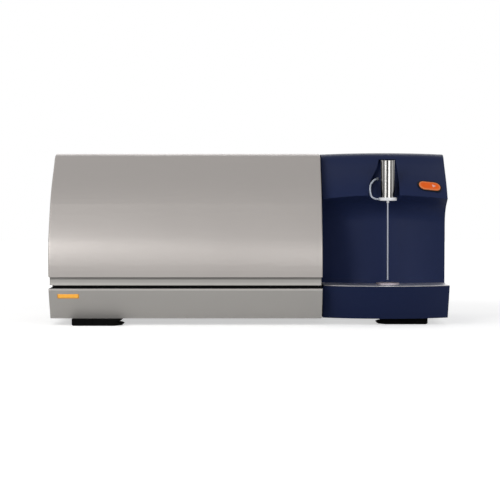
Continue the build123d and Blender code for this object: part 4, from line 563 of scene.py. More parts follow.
def socket_screw_tree():
    """Crowned screw heads with a hexagonal socket, one on each point, facing the point's own direction"""
    sizes = {"diameter": ("Float", 0.006), "height": ("Float", 0.002), "socket": ("Float", 0.5)}
    tree = Growth("socket_screws", **sizes, material=("Material", None))
    height = tree.input("Height")
    sockets = {"Vertices": 24, "Radius": tree.input("Diameter") * 0.5, "Depth": height}
    body = tree.node("GeometryNodeMeshCylinder", None, sockets)
    top = Signal(tree, body.socket.node.outputs["Top"])
    crown_rise, crown_share, socket_depth, body_lift = 0.35, 0.84, 0.7, 0.48
    for rise, narrow in ((crown_rise, crown_share), (0.0, tree.input("Socket"))):
        body, top = drawn_faces(tree, body, top, height * rise)
        sockets = {"Geometry": body, "Selection": top, "Scale": narrow}
        body = tree.node("GeometryNodeScaleElements", {"domain": "FACE"}, sockets)
    place = tree.node("GeometryNodeInputPosition")
    x, y = tree.part(place, "X"), tree.part(place, "Y")
    turn = tree.math("ARCTAN2", y, x) % (math.pi / 3)
    flat = math.cos(math.pi / 6) / tree.math("COSINE", turn - math.pi / 6) - 1.0
    inward = tree.node("ShaderNodeCombineXYZ", None, {0: x * flat, 1: y * flat})
    sockets = {"Geometry": body, "Selection": top, "Offset": inward}
    body = tree.node("GeometryNodeSetPosition", None, sockets)
    body, top = drawn_faces(tree, body, top, height * -socket_depth)
    lift = tree.node("ShaderNodeCombineXYZ", None, {2: height * body_lift})
    head = tree.node("GeometryNodeTransform", None, {"Geometry": body, "Translation": lift})
    facing = tree.node("GeometryNodeInputNamedAttribute", {"data_type": "FLOAT_VECTOR"}, {"Name": "facing"})
    turned_to = tree.node("FunctionNodeAlignRotationToVector", {"axis": "Z"}, {"Vector": facing})
    copies = {"Points": tree.input("Geometry"), "Instance": head, "Rotation": turned_to}
    tree.end(tree.node("GeometryNodeInstanceOnPoints", None, copies))
    return tree


def drawn_faces(tree, mesh, faces, distance):
    """Draws faces out by a distance, and gives the mesh and the faces that were drawn"""
    sockets = {"Mesh": mesh, "Selection": faces, "Offset Scale": distance, "Individual": False}
    drawn = tree.node("GeometryNodeExtrudeMesh", {"mode": "FACES"}, sockets)
    return drawn, Signal(tree, drawn.socket.node.outputs["Top"])


def block_row_tree():
    """Small blocks evenly spaced along paths, such as pins and ribs, with a narrower outer face"""
    sizes = {"spacing": ("Float", 0.002), "size": ("Vector", (0.001, 0.001, 0.001)), "taper": ("Float", 0.7)}
    tree = Growth("block_rows", **sizes, material=("Material", None))
    cube = tree.node("GeometryNodeMeshCube", None, {"Size": tree.input("Size")})
    upward = tree.math("GREATER_THAN", tree.part(tree.node("GeometryNodeInputNormal"), "Z"), 0.5)
    sockets = {"Geometry": cube, "Selection": upward, "Scale": tree.input("Taper")}
    cube = tree.node("GeometryNodeScaleElements", {"domain": "FACE"}, sockets)
    curve = tree.node("GeometryNodeMeshToCurve", None, {0: tree.input("Geometry")})
    sockets = {"Curve": curve, "Length": tree.input("Spacing")}
    spots = tree.node("GeometryNodeCurveToPoints", {"mode": "LENGTH"}, sockets)
    tangent = Signal(tree, spots.socket.node.outputs["Tangent"])
    choices = {"axis": "X", "pivot_axis": "Z"}
    along = tree.node("FunctionNodeAlignRotationToVector", choices, {"Vector": tangent})
    copies = {"Points": spots, "Instance": cube, "Rotation": along}
    tree.end(tree.node("GeometryNodeInstanceOnPoints", None, copies))
    return tree


def crisp_edge_tree():
    """Merges loose triangles and shades them smooth, except across edges that turn more than an angle"""
    tree = Growth("crisp_edges", merge=("Float", 0.000002), angle=("Float", 0.5))
    sockets = {"Geometry": tree.input("Geometry"), "Distance": tree.input("Merge")}
    whole = tree.node("GeometryNodeMergeByDistance", None, sockets)
    sockets = {"Geometry": whole, "Shade Smooth": True}
    smooth = tree.node("GeometryNodeSetShadeSmooth", {"domain": "FACE"}, sockets)
    turn = tree.node("GeometryNodeInputMeshEdgeAngle", None, None, "Unsigned Angle")
    sockets = {"Geometry": smooth, "Shade Smooth": tree.math("LESS_THAN", turn, tree.input("Angle"))}
    tree.end(tree.node("GeometryNodeSetShadeSmooth", {"domain": "EDGE"}, sockets), False)
    return tree


# Settings


def paint(name, description, default):
    return FloatVectorProperty(
        name=name, description=description, subtype="COLOR", size=3, min=0.0, max=1.0, default=default
    )


def length(name, description, default, low, high):
    return FloatProperty(
        name=name, description=description, unit="LENGTH", min=low, max=high, default=default
    )


def share(name, description, default, low=0.0, high=1.0):
    return FloatProperty(name=name, description=description, min=low, max=high, default=default)


def power(name, description, default):
    return FloatProperty(
        name=name, description=description, unit="POWER", min=0.0, max=1000.0, default=default
    )


class CoverSettings(bpy.types.PropertyGroup):
    """Colours of the cover and the grey base"""

    silver: paint("Cover silver", "Paint of the service cover", (0.455, 0.425, 0.405))
    strip: paint("Grip strip grey", "Recessed strip under the cover", (0.335, 0.322, 0.304))
    base: paint("Base grey", "Paint of the base pan and the rear panel", (0.42, 0.405, 0.385))
    sheen: share("Silver roughness", "Roughness of the silver paint", 0.42, 0.05)
    flake: share("Silver flake", "How metallic the silver paint is", 0.65)
    knee: length("Knee softness", "Height over which the front rolls over its knee", 0.02, 0.002, 0.05)


class SamplerSettings(bpy.types.PropertyGroup):
    """Colours of the sampling unit and of the status light"""

    blue: paint("Housing blue", "Moulding of the sampling unit", (0.0098, 0.0168, 0.056))
    orange: paint("Button orange", "Field of the start button", (0.74, 0.105, 0.004))
    rim: paint("Button rim", "Paler rim of the start button", (0.72, 0.2, 0.06))
    amber: paint("Light amber", "Lens of the status light", (0.66, 0.3, 0.045))
    glow: paint("Light glow", "Light behind the lens", (0.75, 0.36, 0.045))


class FittingSettings(bpy.types.PropertyGroup):
    """Sizes of small fittings"""

    screw_head: length("Screw head", "Diameter of a panel screw's head", 0.0068, 0.002, 0.02)
    screw_rise: length("Head height", "Height of a panel screw's head", 0.0018, 0.0005, 0.01)
    screw_inset: length("Screw inset", "From a plate's edge to its screws", 0.0085, 0.003, 0.05)
    mark_size: length("Button mark", "Height of the pale mark on the start button", 0.0095, 0.001, 0.02)
    pin_pitch: length("Pin pitch", "Spacing of the pins round a chip", 0.00254, 0.0005, 0.01)
    rib_pitch: length("Rib pitch", "Spacing of the ribs round a cap", 0.0045, 0.001, 0.02)
    edge_angle: FloatProperty(
        name="Crisp edge angle",
        description="Edges that turn more than this stay crisp",
        subtype="ANGLE",
        min=0.0,
        max=3.14,
        default=math.radians(32),
    )


class StageSettings(bpy.types.PropertyGroup):
    """The studio's camera and lamps"""

    lens: FloatProperty(
        name="Lens",
        description="Focal length of the camera",
        unit="CAMERA",
        min=10.0,
        max=400.0,
        default=153.3,
    )
    distance: length("Camera distance", "Distance of the camera in front of the origin", 4.736, 1.0, 20.0)
    height: length("Camera height", "Height of the camera", 0.311, 0.0, 5.0)
    key: power("Key lamp", "Power of the tall lamp in front on the left", 20.5)
    left: power("Left lamp", "Power of the lamp at the left", 18.0)
    right: power("Right lamp", "Power of the lamp at the right", 17.0)
    fill: power("Fill lamp", "Power of the low lamp in front on the right", 11.5)
    rear: power("Rear lamp", "Power of the lamp behind", 10.0)
    sky: share("Surround", "Strength of the soft surround", 0.44, 0.0, 5.0)


# Operators


class ANALYZER_OT_crisp_edges(bpy.types.Operator):
    """Smooth shading on every CAD node, with crisp edges"""

    bl_idname = "analyzer.crisp_edges"
    bl_label = "Crisp edges"

    def execute(self, context):
        tree = crisp_edge_tree()
        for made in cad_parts.values():
            tree.modify(made, angle=settings("fittings").edge_angle)
            made.modifiers.new("even_shading", "WEIGHTED_NORMAL").keep_sharp = True
        return {"FINISHED"}


class ANALYZER_OT_shell_finishes(bpy.types.Operator):
    """Finishes of the grip strip, base, rear panel, sampling unit, status light and feet"""

    bl_idname = "analyzer.shell_finishes"
    bl_label = "Shell finishes"

    def execute(self, context):
        cover, sampler = settings("cover"), settings("sampler")
        dress(self.strip(cover.strip), "cover_grip_rail")
        dress(self.pan(cover.base), "base_pan")
        dress(painted("panel_paint", cover.base, 0.55, 0.1, specular=0.3), "rear_panel")
        blue = moulded("blue_moulding", sampler.blue, 0.45, specular=0.1)
        dress(blue, "sampler_housing", "sampler_base", "sampler_back_plate")
        dress(button_cap("orange_cap", sampler.orange, sampler.rim), "start_button")
        black = moulded("black_moulding", (0.006, 0.006, 0.007), 0.5, specular=0.2)
        dress(black, "button_bezel", "button_switch")
        dress(lit_lens("lit_amber", sampler.amber, sampler.glow), "status_light_lens")
        dress(rubbery("foot_pad_rubber", (0.002, 0.002, 0.002), 0.7, 0.05), "feet")
        seal = rubbery("black_seal", (0.005, 0.005, 0.005), 0.7, 0.15)
        dress(seal, "cover_rests", "side_spacers", "cable_sleeve")
        return {"FINISHED"}

    def strip(self, rgb):
        """Grey paint, with a painted shadow under the cover's lip and a painted highlight along its lower
        edge
        """
        lip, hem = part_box("service_cover")[0].z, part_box("cover_grip_rail")[0].z
        lip_shadow_drop, lip_shadow_blend, highlight_rise, highlight_blend = 0.0075, 0.006, 0.0065, 0.0015
        finish = painted("strip_paint", rgb, 0.42, 0.4)
        # Painted shadow: a darker band just under the cover's lip, where the lip shades the strip
        lip_shadow = finish.past("Z", lip - lip_shadow_drop, lip_shadow_blend)
        # Painted highlight: a paler band along the strip's lower edge, where the edge catches the light
        painted_highlight = finish.past("Z", hem + highlight_rise, -highlight_blend)
        tint = finish.mix(painted_highlight, finish.tint, shade(rgb, 1.22))
        finish.set(base_color=finish.mix(lip_shadow, tint, shade(rgb, 0.42)))
        return finish

    def pan(self, rgb):
        """Grey paint, with painted shade that makes the rim inside the front skin black where it is seen
        through the slot, and a painted highlight along its front top edge
        """
        front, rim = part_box("base_pan")[0].y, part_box("base_pan")[1].z
        skin, skin_blend, brim, brim_blend = 0.0003, 0.0005, 0.0005, 0.0003
        highlight_depth, highlight_back, highlight_drop, highlight_blend = 0.004, 0.002, 0.0052, 0.0012
        finish = painted("base_paint", rgb, 0.55, 0.1, specular=0.3)
        # Painted shade: the rim behind the front skin is made black, standing in for the deep shadow in the
        # slot under the strip
        inside = finish.past("Z", rim - brim, brim_blend) * finish.past("Y", front + skin, skin_blend)
        # Painted highlight: a paler band along the pan's front top edge, where the edge catches the light
        painted_highlight = finish.past("Z", rim - highlight_drop, highlight_blend)
        painted_highlight = painted_highlight * finish.past("Y", front + highlight_depth, -highlight_back)
        tint = finish.mix(painted_highlight, finish.tint, shade(rgb, 1.4))
        finish.set(base_color=finish.mix(inside, tint, color(0.005, 0.005, 0.005)))
        return finish


class ANALYZER_OT_cover_shell(bpy.types.Operator):
    """The cover's skin with its front rolled softly over the knee, in place of the plain solid's crease"""

    bl_idname = "analyzer.cover_shell"
    bl_label = "Cover shell"

    def execute(self, context):
        cover = settings("cover")
        merge, foot, share_up, steps = 0.000002, 0.004, 0.72, 60
        bm = bmesh.new()
        bm.from_mesh(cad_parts["service_cover"].data)
        bmesh.ops.remove_doubles(bm, verts=bm.verts, dist=merge)
        low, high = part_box("service_cover")
        start, end = low.z + foot, low.z + share_up * (high.z - low.z)
        levels = spread(start, end, steps + 1)
        for level in levels:
            everything = [*bm.verts, *bm.edges, *bm.faces]
            bmesh.ops.bisect_plane(bm, geom=everything, plane_co=(0, 0, level), plane_no=(0, 0, 1))
        self.roll(bm, levels, cover.knee)
        silver = painted("silver_paint", cover.silver, cover.sheen, cover.flake)
        dress(silver, "service_cover")
        shell = shown_mesh("cover_shell", bm, silver, "cover", 32.0)
        shell.modifiers.new("even_shading", "WEIGHTED_NORMAL").keep_sharp = True
        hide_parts("service_cover")
        return {"FINISHED"}

    def roll(self, bm, levels, spread_over):
        """Moves the front's skin back, both its faces alike, and fades out behind it"""
        on_level, reach, fade = 0.00001, 0.02, 0.015
        fronts = [min(vert.co.y for vert in bm.verts if abs(vert.co.z - z) < on_level) for z in levels]
        shifts = self.shifts(levels, fronts, spread_over)
        steps = len(levels) - 1
        for vert in bm.verts:
            place = (vert.co.z - levels[0]) / (levels[-1] - levels[0]) * steps
            if 0 < place < steps:
                below, part = int(place), place - int(place)
                front = fronts[below] * (1 - part) + fronts[below + 1] * part
                shift = shifts[below] * (1 - part) + shifts[below + 1] * part
                behind = vert.co.y - front
                vert.co.y += shift * min(1.0, max(0.0, (reach - behind) / fade))

    def shifts(self, levels, fronts, spread_over):
        """How far the front moves back at each level: towards its own local average, and never forwards"""
        found = []
        for level, front in zip(levels, fronts):
            weights = [math.exp(-((other - level) / spread_over) ** 2 / 2) for other in levels]
            average = sum(weight * place for weight, place in zip(weights, fronts)) / sum(weights)
            from_end = min(level - levels[0], levels[-1] - level) / (2.2 * spread_over)
            fade = min(1.0, max(0.0, from_end))
            found.append(max(0.0, average - front) * fade * fade * (3 - 2 * fade))
        return found


class ANALYZER_OT_station_finishes(bpy.types.Operator):
    """Finishes of the pipette station and the lift behind it"""

    bl_idname = "analyzer.station_finishes"
    bl_label = "Station finishes"

    def execute(self, context):
        # The tube and the needle carry painted reflection streaks
        dress(drawn_tube("tube_polish", (0.45, 0.44, 0.425), "guide_tube", 0.12), "guide_tube")
        needle = drawn_tube("needle_polish", (0.3, 0.32, 0.37), "pipette_needle", 0.8, 0.35)
        dress(needle, "pipette_needle")
        dress(turned("seat_turning", (0.36, 0.32, 0.35), box_axis("vial_seat"), 0.5), "vial_seat")
        dress(brushed("tray_brushing", (0.86, 0.84, 0.85)), "drip_tray")
        dress(moulded("white_moulding", (0.7, 0.71, 0.73), 0.32), "rinse_collar", "pipette_head")
        dress(clear_tube("hose_silicone", (0.5, 0.54, 0.62)), "rinse_hose")
        dress(moulded("grey_moulding", (0.2, 0.21, 0.22), 0.4), "rinse_fitting", "drain_pump_body")
        dress(cast("blasted_aluminium", (0.62, 0.62, 0.63), 0.42), "lift_carriage")
        dress(galvanised("zinc_bracket", (0.52, 0.53, 0.54)), "lift_bracket")
        steel = brushed("ground_steel", (0.45, 0.45, 0.46), 0.25, (400.0, 400.0, 6.0))
        dress(steel, "lift_rail", "hinge_pins")
        dress(rubbery("moulded_belt", (0.02, 0.02, 0.02)), "lift_belt")
        dress(cast("pulley_alloy", (0.6, 0.6, 0.62), 0.35), "drive_pulley", "idler_pulley")
        motor = painted("motor_paint", (0.02, 0.02, 0.02), 0.4)
        dress(motor, "lift_motor", "pump_motor", "detector_housing")
        return {"FINISHED"}


class ANALYZER_OT_bay_finishes(bpy.types.Operator):
    """Finishes of the measuring bay's modules and the fittings behind"""

    bl_idname = "analyzer.bay_finishes"
    bl_label = "Bay finishes"

    def execute(self, context):
        dress(self.deck(), "deck_plate")
        dress(galvanised("zinc_plate", (0.5, 0.51, 0.52)), "partition_wall", "sampler_floor", "power_supply")
        hinge = brushed("brushed_hinge_steel", (0.42, 0.42, 0.42), 0.35)
        dress(hinge, "frame_hinge_leaves", "lid_hinge_leaves")
        dress(cast("die_cast_alloy", (0.42, 0.42, 0.43)), "interferometer_housing")
        milled = brushed("milled_alloy", (0.55, 0.55, 0.56), 0.3, (3.0, 300.0, 300.0))
        dress(milled, "interferometer_lid")
        dress(rubbery("mount_rubber", (0.02, 0.02, 0.02)), "optics_mounts")
        dress(cast("anodised_black", (0.05, 0.05, 0.055), 0.5), "infrared_source", "sample_heater")
        dress(brushed("ground_stainless", (0.5, 0.5, 0.51), 0.28), "cuvette_block", "pump_block")
        dress(bead_window("cartridge_white", (0.72, 0.72, 0.7), (0.5, 0.12, 0.01)), "desiccant_cartridge")
        dress(moulded("rotor_moulding", (0.72, 0.72, 0.7), 0.4), "drain_pump_rotor")
        brass = turned("turned_brass", (0.7, 0.5, 0.2), box_axis("homogeniser_valve"), 0.28)
        dress(brass, "homogeniser_valve")
        dress(moulded("manifold_moulding", (0.4, 0.41, 0.41), 0.45), "valve_manifold")
        dress(circuit("board_mask", (0.01, 0.09, 0.03)), "main_board", "status_light_board")
        dress(moulded("fan_plastic", (0.014, 0.014, 0.015)), "fan_frame", "fan_rotor", "mains_inlet")
        switch = moulded("switch_plastic", (0.02, 0.02, 0.02), 0.25, grain=1400.0, depth=0.00001)
        dress(switch, "switch_frame", "mains_rocker")
        dress(brushed("nickel_plate", (0.55, 0.54, 0.5)), "data_ports", "tube_bulkheads")
        return {"FINISHED"}

    def deck(self):
        """Dark powder coat, with painted shade along the front: a near-black, rubber-rough band where the
        deck is seen through the slot
        """
        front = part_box("deck_plate")[0].y
        slot_shade_depth, slot_shade_blend = 0.0045, 0.001
        finish = painted("deck_powder_coat", (0.045, 0.046, 0.048), peel=0.00008, specular=0.3)
        # Painted shade: the front band is made near black, standing in for the shadow in the slot in front of
        # it
        slot_shade = finish.past("Y", front + slot_shade_depth, -slot_shade_blend)
        finish.set(base_color=finish.mix(slot_shade, finish.tint, color(0.002, 0.002, 0.002)))
        slot_shade_roughness, coat_roughness = 0.9, 0.55
        finish.set(roughness=slot_shade_roughness * slot_shade + coat_roughness * (1.0 - slot_shade))
        return finish


class ANALYZER_OT_screws(bpy.types.Operator):
    """Socket-head screws on the rear panel, the fan, the hinge leaves, the mains inlet and the optics lid"""

    bl_idname = "analyzer.screws"
    bl_label = "Screws"

    def execute(self, context):
        fittings = settings("fittings")
        tree = socket_screw_tree()
        points = points_mesh("panel_points", self.panel(fittings.screw_inset))
        sizes = {"diameter": fittings.screw_head, "height": fittings.screw_rise, "socket": 0.5}
        grow(tree, "panel_screws", points, cast("screw_steel", (0.5, 0.5, 0.5), 0.3), **sizes)
        points = points_mesh("lid_points", self.lid(fittings.screw_inset))
        sizes = {"diameter": 0.0085, "height": 0.0045, "socket": 0.55}
        black = painted("screw_black", (0.012, 0.012, 0.013), 0.35)
        grow(tree, "lid_screws", points, black, **sizes)
        return {"FINISHED"}

    def panel(self, inset):
        """Screws that face backwards: panel edges, fan, hinge leaves, mains inlet"""
        back = Vector((0, 1, 0))
        low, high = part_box("rear_panel")
        rows = spread(low.z + inset, high.z - 2.5 * inset, 4)
        spots = [(x, z) for x in (low.x + inset, high.x - inset) for z in rows]
        spots += [(x, low.z + inset) for x in spread(low.x + inset, high.x - inset, 6)[1:-1]]
        fan_low, fan_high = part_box("fan_frame")
        fan, reach = (fan_low + fan_high) / 2, 0.45 * (fan_high.x - fan_low.x)
        spots += [(fan.x + i * reach, fan.z + j * reach) for i in (-1, 1) for j in (-1, 1)]
        points = [(Vector((x, high.y, z)), back) for x, z in spots]
        leaf_low, leaf_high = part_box("frame_hinge_leaves")
        leaf_width, leaf_wall, screw_height = 0.08, 0.002, 0.014
        for start in (leaf_low.x, leaf_high.x - leaf_width):
            for along in (0.14, 0.5, 0.86):
                place = (start + along * leaf_width, high.y + leaf_wall, leaf_low.z + screw_height)
                points.append((Vector(place), back))
        inlet_low, inlet_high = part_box("mains_inlet")
        ear, middle = 0.0042, (inlet_low.z + inlet_high.z) / 2
        for x in (inlet_low.x + ear, inlet_high.x - ear):
            points.append((Vector((x, inlet_high.y, middle)), back))
        return points

    def lid(self, inset):
        """Screws that face up, round the edge of the optics lid"""
        up = Vector((0, 0, 1))
        low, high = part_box("interferometer_lid")
        columns = spread(low.x + inset, high.x - inset, 4)
        places = [(x, y) for x in columns for y in (low.y + inset, high.y - inset)]
        places += [(x, (low.y + high.y) / 2) for x in (low.x + inset, high.x - inset)]
        return [(Vector((x, y, high.z)), up) for x, y in places]


class ANALYZER_OT_button_mark(bpy.types.Operator):
    """Pale start mark on the orange button: a triangle with rounded corners"""

    bl_idname = "analyzer.button_mark"
    bl_label = "Button mark"

    def execute(self, context):
        centre, outward, along, across, long_half, short_half = cap_frame()
        size = settings("fittings").mark_size
        share_along, clearance, thickness = 0.42, 0.00002, 0.00015
        tail, tip, half_height, rounding = -0.42, 0.46, 0.5, 0.12
        middle = centre + along * (share_along * long_half) + outward * clearance
        bm = bmesh.new()
        corners = [(tail, half_height), (tail, -half_height), (tip, 0.0)]
        ring = [bm.verts.new(middle + along * (x * size) + across * (y * size)) for x, y in corners]
        bm.faces.new(ring)
        bmesh.ops.bevel(bm, geom=ring, offset=size * rounding, segments=3, affect="VERTICES", profile=0.5)
        drawn = bmesh.ops.extrude_face_region(bm, geom=list(bm.faces))["geom"]
        lifted = [part for part in drawn if isinstance(part, bmesh.types.BMVert)]
        bmesh.ops.translate(bm, vec=outward * thickness, verts=lifted)
        pale = moulded("mark_ink", (0.72, 0.4, 0.34), 0.4, grain=1400.0, depth=0.000005)
        shown_mesh("button_mark", bm, pale, "button")
        return {"FINISHED"}


class ANALYZER_OT_board_parts(bpy.types.Operator):
    """Capacitors, connectors and rows of pins on the main board"""

    bl_idname = "analyzer.board_parts"
    bl_label = "Board parts"

    def execute(self, context):
        low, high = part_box("main_board")
        board_wall = 0.0016
        corner = Vector((low.x, low.y, low.z + board_wall))
        self.pins(corner, high - low)
        self.cans(corner, high - low)
        self.connectors(corner, high - low)
        return {"FINISHED"}

    def pins(self, corner, size):
        """Rows of pins round the chips, whose places and sizes are shares of the board"""
        chips = (
            (0.3, 0.7, 0.3, 0.2),
            (0.7, 0.72, 0.2, 0.16),
            (0.3, 0.36, 0.22, 0.14),
            (0.7, 0.34, 0.28, 0.24),
        )
        rise, inset, outset = 0.0006, 0.002, 0.0007
        x_way, y_way = Vector((1, 0, 0)), Vector((0, 1, 0))
        paths = []
        for x, y, wide, deep in chips:
            middle = corner + Vector((x * size.x, y * size.y, rise))
            half = Vector((wide * size.x / 2, deep * size.y / 2, 0))
            for along, across in ((x_way, y_way), (y_way, x_way)):
                reach = along * (half.dot(along) - inset)
                side = across * (half.dot(across) + outset)
                paths += [[middle - side - reach, middle - side + reach]]
                paths += [[middle + side - reach, middle + side + reach]]
        tin = brushed("tinned_pins", (0.62, 0.62, 0.6))
        pitch = settings("fittings").pin_pitch
        sizes = {"spacing": pitch, "size": (0.001, 0.0018, 0.0012), "taper": 0.9}
        grow(block_row_tree(), "chip_pins", path_mesh("pin_paths", paths), tin, **sizes)

    def cans(self, corner, size):
        """Electrolytic capacitors along the board's front edge"""
        small, medium, large = (0.005, 0.011), (0.0065, 0.016), (0.008, 0.02)
        cans = ((0.12, medium), (0.27, medium), (0.44, large), (0.62, small), (0.75, small), (0.88, medium))
        bm = bmesh.new()
        for along, (radius, height) in cans:
            foot = ((0, 0), (radius * 0.9, 0), (radius, 0.0008))
            waist = ((radius, 0.0022), (radius * 0.92, 0.0028), (radius, 0.0034))
            shoulder = ((radius, height - 0.001), (radius * 0.94, height), (radius * 0.8, height))
            vent = ((radius * 0.78, height - 0.0003), (0, height - 0.0003))
            base = corner + Vector((along * size.x, 0.065 * size.y, 0))
            lathed(bm, foot + waist + shoulder + vent, base)
        sleeve = moulded("can_sleeve", (0.015, 0.03, 0.09), 0.3, grain=1200.0, depth=0.00001)
        shown_mesh("board_capacitors", bm, sleeve, "frame")

    def connectors(self, corner, size):
        """Pale wire-to-board connectors across the middle of the board, and their rows of contacts"""
        half_depth, wall, back_rise, front_rise, floor_rise = 0.003, 0.001, 0.006, 0.0045, 0.002
        floor_half, contact_inset, contact_rise = 0.0025, 0.002, 0.0032
        bm = bmesh.new()
        paths = []
        for along, length in ((0.16, 0.018), (0.38, 0.014), (0.62, 0.022), (0.86, 0.014)):
            x, y, top = corner.x + along * size.x, corner.y + 0.535 * size.y, corner.z
            left, right = x - length / 2, x + length / 2
            block(bm, (left, y - half_depth, top), (right, y - half_depth + wall, top + back_rise))
            block(bm, (left, y + half_depth - wall, top), (right, y + half_depth, top + front_rise))
            block(bm, (left, y - floor_half, top), (right, y + floor_half, top + floor_rise))
            ends = (left + contact_inset, right - contact_inset)
            paths.append([Vector((end, y, top + contact_rise)) for end in ends])
        shown_mesh("board_connectors", bm, moulded("nylon", (0.66, 0.63, 0.54), 0.38), "frame")
        tin = brushed("tinned_contacts", (0.62, 0.62, 0.6))
        sizes = {"spacing": 0.0025, "size": (0.0006, 0.0006, 0.0034), "taper": 0.6}
        grow(block_row_tree(), "connector_contacts", path_mesh("contact_paths", paths), tin, **sizes)


class ANALYZER_OT_bay_fittings(bpy.types.Operator):
    """Ribs on the cartridge's cap, cores on the solenoids, and a plug in the optics lid"""

    bl_idname = "analyzer.bay_fittings"
    bl_label = "Bay fittings"

    def execute(self, context):
        self.cap_ribs()
        self.solenoid_cores()
        self.lid_plug()
        return {"FINISHED"}

    def ribs(self, name, centre, radius, finish, pitch, size, taper):
        """Small blocks round a level ring"""
        ring = [centre + spot for spot in circle(radius, 0, 72)]
        path = path_mesh(name + "_ring", [ring], True)
        grow(block_row_tree(), name, path, finish, spacing=pitch, size=size, taper=taper)

    def cap_ribs(self):
        low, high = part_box("desiccant_cartridge")
        below_top, sunk, rib = 0.0045, 0.0003, (0.0016, 0.0016, 0.0048)
        centre = Vector((*box_axis("desiccant_cartridge"), high.z - below_top))
        radius = (high.x - low.x) / 2 - sunk
        white = moulded("cap_white", (0.7, 0.7, 0.68), 0.4)
        self.ribs("cap_ribs", centre, radius, white, settings("fittings").rib_pitch, rib, 0.6)

    def solenoid_cores(self):
        """A brass core nut on each solenoid"""
        low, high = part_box("valve_manifold")
        solenoids = 4
        pitch = (high.x - low.x) / solenoids
        nut = ((0, 0), (0.0052, 0), (0.0052, 0.0022), (0.0044, 0.003))
        stem = ((0.002, 0.003), (0.002, 0.0052), (0.0014, 0.0058), (0, 0.0058))
        bm = bmesh.new()
        for step in range(solenoids):
            base = Vector((low.x + pitch * (step + 0.5), (low.y + high.y) / 2, high.z))
            lathed(bm, nut + stem, base, 24)
        shown_mesh("solenoid_cores", bm, cast("core_brass", (0.7, 0.5, 0.2), 0.32), "frame")

    def lid_plug(self):
        """Knurled plug over the optics' alignment port"""
        low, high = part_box("interferometer_lid")
        from_right, from_front, knurl_radius, knurl_rise = 0.036, 0.034, 0.0111, 0.0048
        knurl_pitch, tooth = 0.0016, (0.0008, 0.0008, 0.0042)
        base = Vector((high.x - from_right, low.y + from_front, high.z))
        flange = ((0, 0), (0.0135, 0), (0.0135, 0.0012), (0.011, 0.002))
        grip = ((0.011, 0.0075), (0.0102, 0.0085), (0.0035, 0.0085), (0.003, 0.0075), (0, 0.0075))
        bm = bmesh.new()
        lathed(bm, flange + grip, base, 48)
        dark = cast("plug_anodised", (0.06, 0.06, 0.065), 0.35)
        shown_mesh("lid_plug", bm, dark, "frame")
        centre = base + Vector((0, 0, knurl_rise))
        self.ribs("plug_knurl", centre, knurl_radius, dark, knurl_pitch, tooth, 0.7)


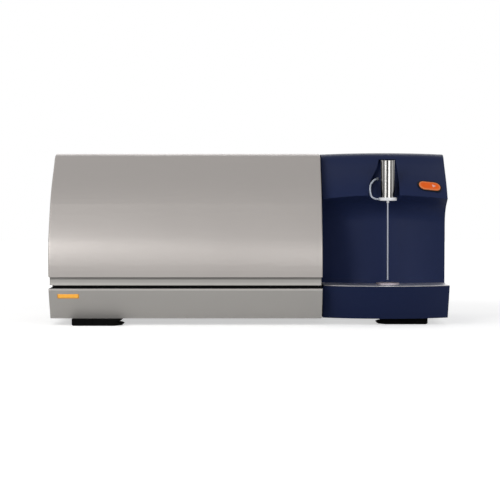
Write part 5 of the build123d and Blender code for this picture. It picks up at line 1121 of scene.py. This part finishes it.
class ANALYZER_OT_stage(bpy.types.Operator):
    """Pale floor, white surround, soft lamps and the camera"""

    bl_idname = "analyzer.stage"
    bl_label = "Stage"

    def execute(self, context):
        stage = settings("stage")
        self.floor()
        self.surround(stage.sky)
        whole, cover = (0.0, -0.2, 0.2), (-0.38, -0.24, 0.17)
        station, top = (0.25, -0.2, 0.18), (0.0, 0.0, 0.3)
        self.lamp("key_lamp", (-1.2, -2.25, 1.12), cover, width=0.7, height=2.1, watts=stage.key)
        self.lamp("left_lamp", (-2.5, -1.7, 1.3), whole, width=1.5, height=1.5, watts=stage.left)
        self.lamp("right_lamp", (2.2, -2.1, 1.1), whole, width=1.5, height=1.5, watts=stage.right)
        self.lamp("fill_lamp", (1.35, -2.85, 0.45), station, width=1.2, height=0.8, watts=stage.fill)
        self.lamp("rear_lamp", (0.1, 2.6, 1.6), top, width=2.0, height=0.9, watts=stage.rear)
        self.camera(stage)
        context.scene.view_settings.view_transform = "Standard"
        return {"FINISHED"}

    def floor(self):
        """White where it is seen, greyer under the object, and a plain pale paper for light"""
        half, white_from, white_to, mirrored_share = 6.0, 0.7, 2.2, 0.3
        mesh = bpy.data.meshes.new("floor")
        corners = [(-half, -half, 0), (half, -half, 0), (half, half, 0), (-half, half, 0)]
        mesh.from_pydata(corners, [], [(0, 1, 2, 3)])
        floor = linked("floor", mesh)
        finish = Finish("floor_paper", base_color=color(0.7, 0.7, 0.7), roughness=1.0, specular_ior_level=0.0)
        camera, glossy, through = finish.rays()
        seen = finish.math("MAXIMUM", camera, glossy * mirrored_share + through)
        far = finish.between(finish.away((0.0, 0.0)), white_from, white_to)
        white = finish.mix(far, color(0.55, 0.55, 0.55), color(1.0, 1.0, 1.0))
        finish.set(emission_strength=1.0, emission_color=finish.mix(seen, color(0, 0, 0), white))
        mesh.materials.append(finish.material)

    def surround(self, strength):
        """White for the camera, soft grey as light, and in reflections white low down and dimmer overhead"""
        overhead_dip, front_dip = 0.36, 0.2
        world = bpy.data.worlds.new("surround")
        bpy.context.scene.world = world
        world.use_nodes = True
        tree = Tree(world.node_tree)
        look = tree.node("ShaderNodeTexCoord", output="Generated")
        front = tree.between(tree.part(look, "Y"), 0.3, -0.3)
        rise = tree.between(tree.part(look, "Z"), 0.1, 0.85)
        mirrored = 1.0 - rise * overhead_dip - front * (1.0 - rise) * front_dip
        soft, bright, white = (self.backdrop(tree, level) for level in (strength, mirrored, 1.0))
        camera, glossy, through = tree.rays()
        sockets = {0: tree.math("MAXIMUM", glossy, through), 1: soft, 2: bright}
        lit = tree.node("ShaderNodeMixShader", None, sockets)
        seen = tree.node("ShaderNodeMixShader", None, {0: camera, 1: lit, 2: white})
        output = tree.nodes.new("ShaderNodeOutputWorld")
        tree.links.new(seen.socket, output.inputs["Surface"])

    def backdrop(self, tree, level):
        return tree.node("ShaderNodeBackground", None, {"Color": color(1.0, 1.0, 1.0), "Strength": level})

    def lamp(self, name, place, target, width, height, watts):
        light = bpy.data.lights.new(name, "AREA")
        light.shape = "RECTANGLE"
        light.size, light.size_y = width, height
        light.energy = watts
        made = linked(name, light)
        made.location = place
        made.rotation_euler = (Vector(target) - Vector(place)).to_track_quat("-Z", "Y").to_euler()

    def camera(self, stage):
        """A level camera a little above the object, looking slightly down"""
        aside, tilt, turn = 0.005, math.radians(88.12), math.radians(0.054)
        data = bpy.data.cameras.new("camera")
        data.lens = stage.lens
        data.sensor_width = 36.0
        made = linked("camera", data)
        made.location = (aside, -stage.distance, stage.height)
        made.rotation_euler = (tilt, 0.0, turn)
        bpy.context.scene.camera = made


class ANALYZER_PT_panel(bpy.types.Panel):
    """Lists the analyzer's settings and operators"""

    bl_idname = "ANALYZER_PT_panel"
    bl_label = "Milk analyzer"
    bl_space_type = "VIEW_3D"
    bl_region_type = "UI"
    bl_category = "Analyzer"

    def draw(self, context):
        layout = self.layout
        for group in SETTINGS:
            part = getattr(context.scene, group)
            for name in part.__annotations__:
                layout.prop(part, name)
        for operator in OPERATORS:
            layout.operator(operator.bl_idname)


SETTINGS = {
    "milk_analyzer_cover": CoverSettings,
    "milk_analyzer_sampler": SamplerSettings,
    "milk_analyzer_fittings": FittingSettings,
    "milk_analyzer_stage": StageSettings,
}
OPERATORS = (
    ANALYZER_OT_stage,
    ANALYZER_OT_crisp_edges,
    ANALYZER_OT_shell_finishes,
    ANALYZER_OT_cover_shell,
    ANALYZER_OT_station_finishes,
    ANALYZER_OT_bay_finishes,
    ANALYZER_OT_screws,
    ANALYZER_OT_button_mark,
    ANALYZER_OT_board_parts,
    ANALYZER_OT_bay_fittings,
)
CLASSES = (*SETTINGS.values(), *OPERATORS, ANALYZER_PT_panel)


def register():
    for made in CLASSES:
        bpy.utils.register_class(made)
    for name, group in SETTINGS.items():
        setattr(bpy.types.Scene, name, PointerProperty(type=group))


def unregister():
    for name in SETTINGS:
        delattr(bpy.types.Scene, name)
    for made in reversed(CLASSES):
        bpy.utils.unregister_class(made)


def main():
    register()
    for operator in OPERATORS:
        group, name = operator.bl_idname.split(".")
        getattr(getattr(bpy.ops, group), name)()


if __name__ == "__main__":
    main()
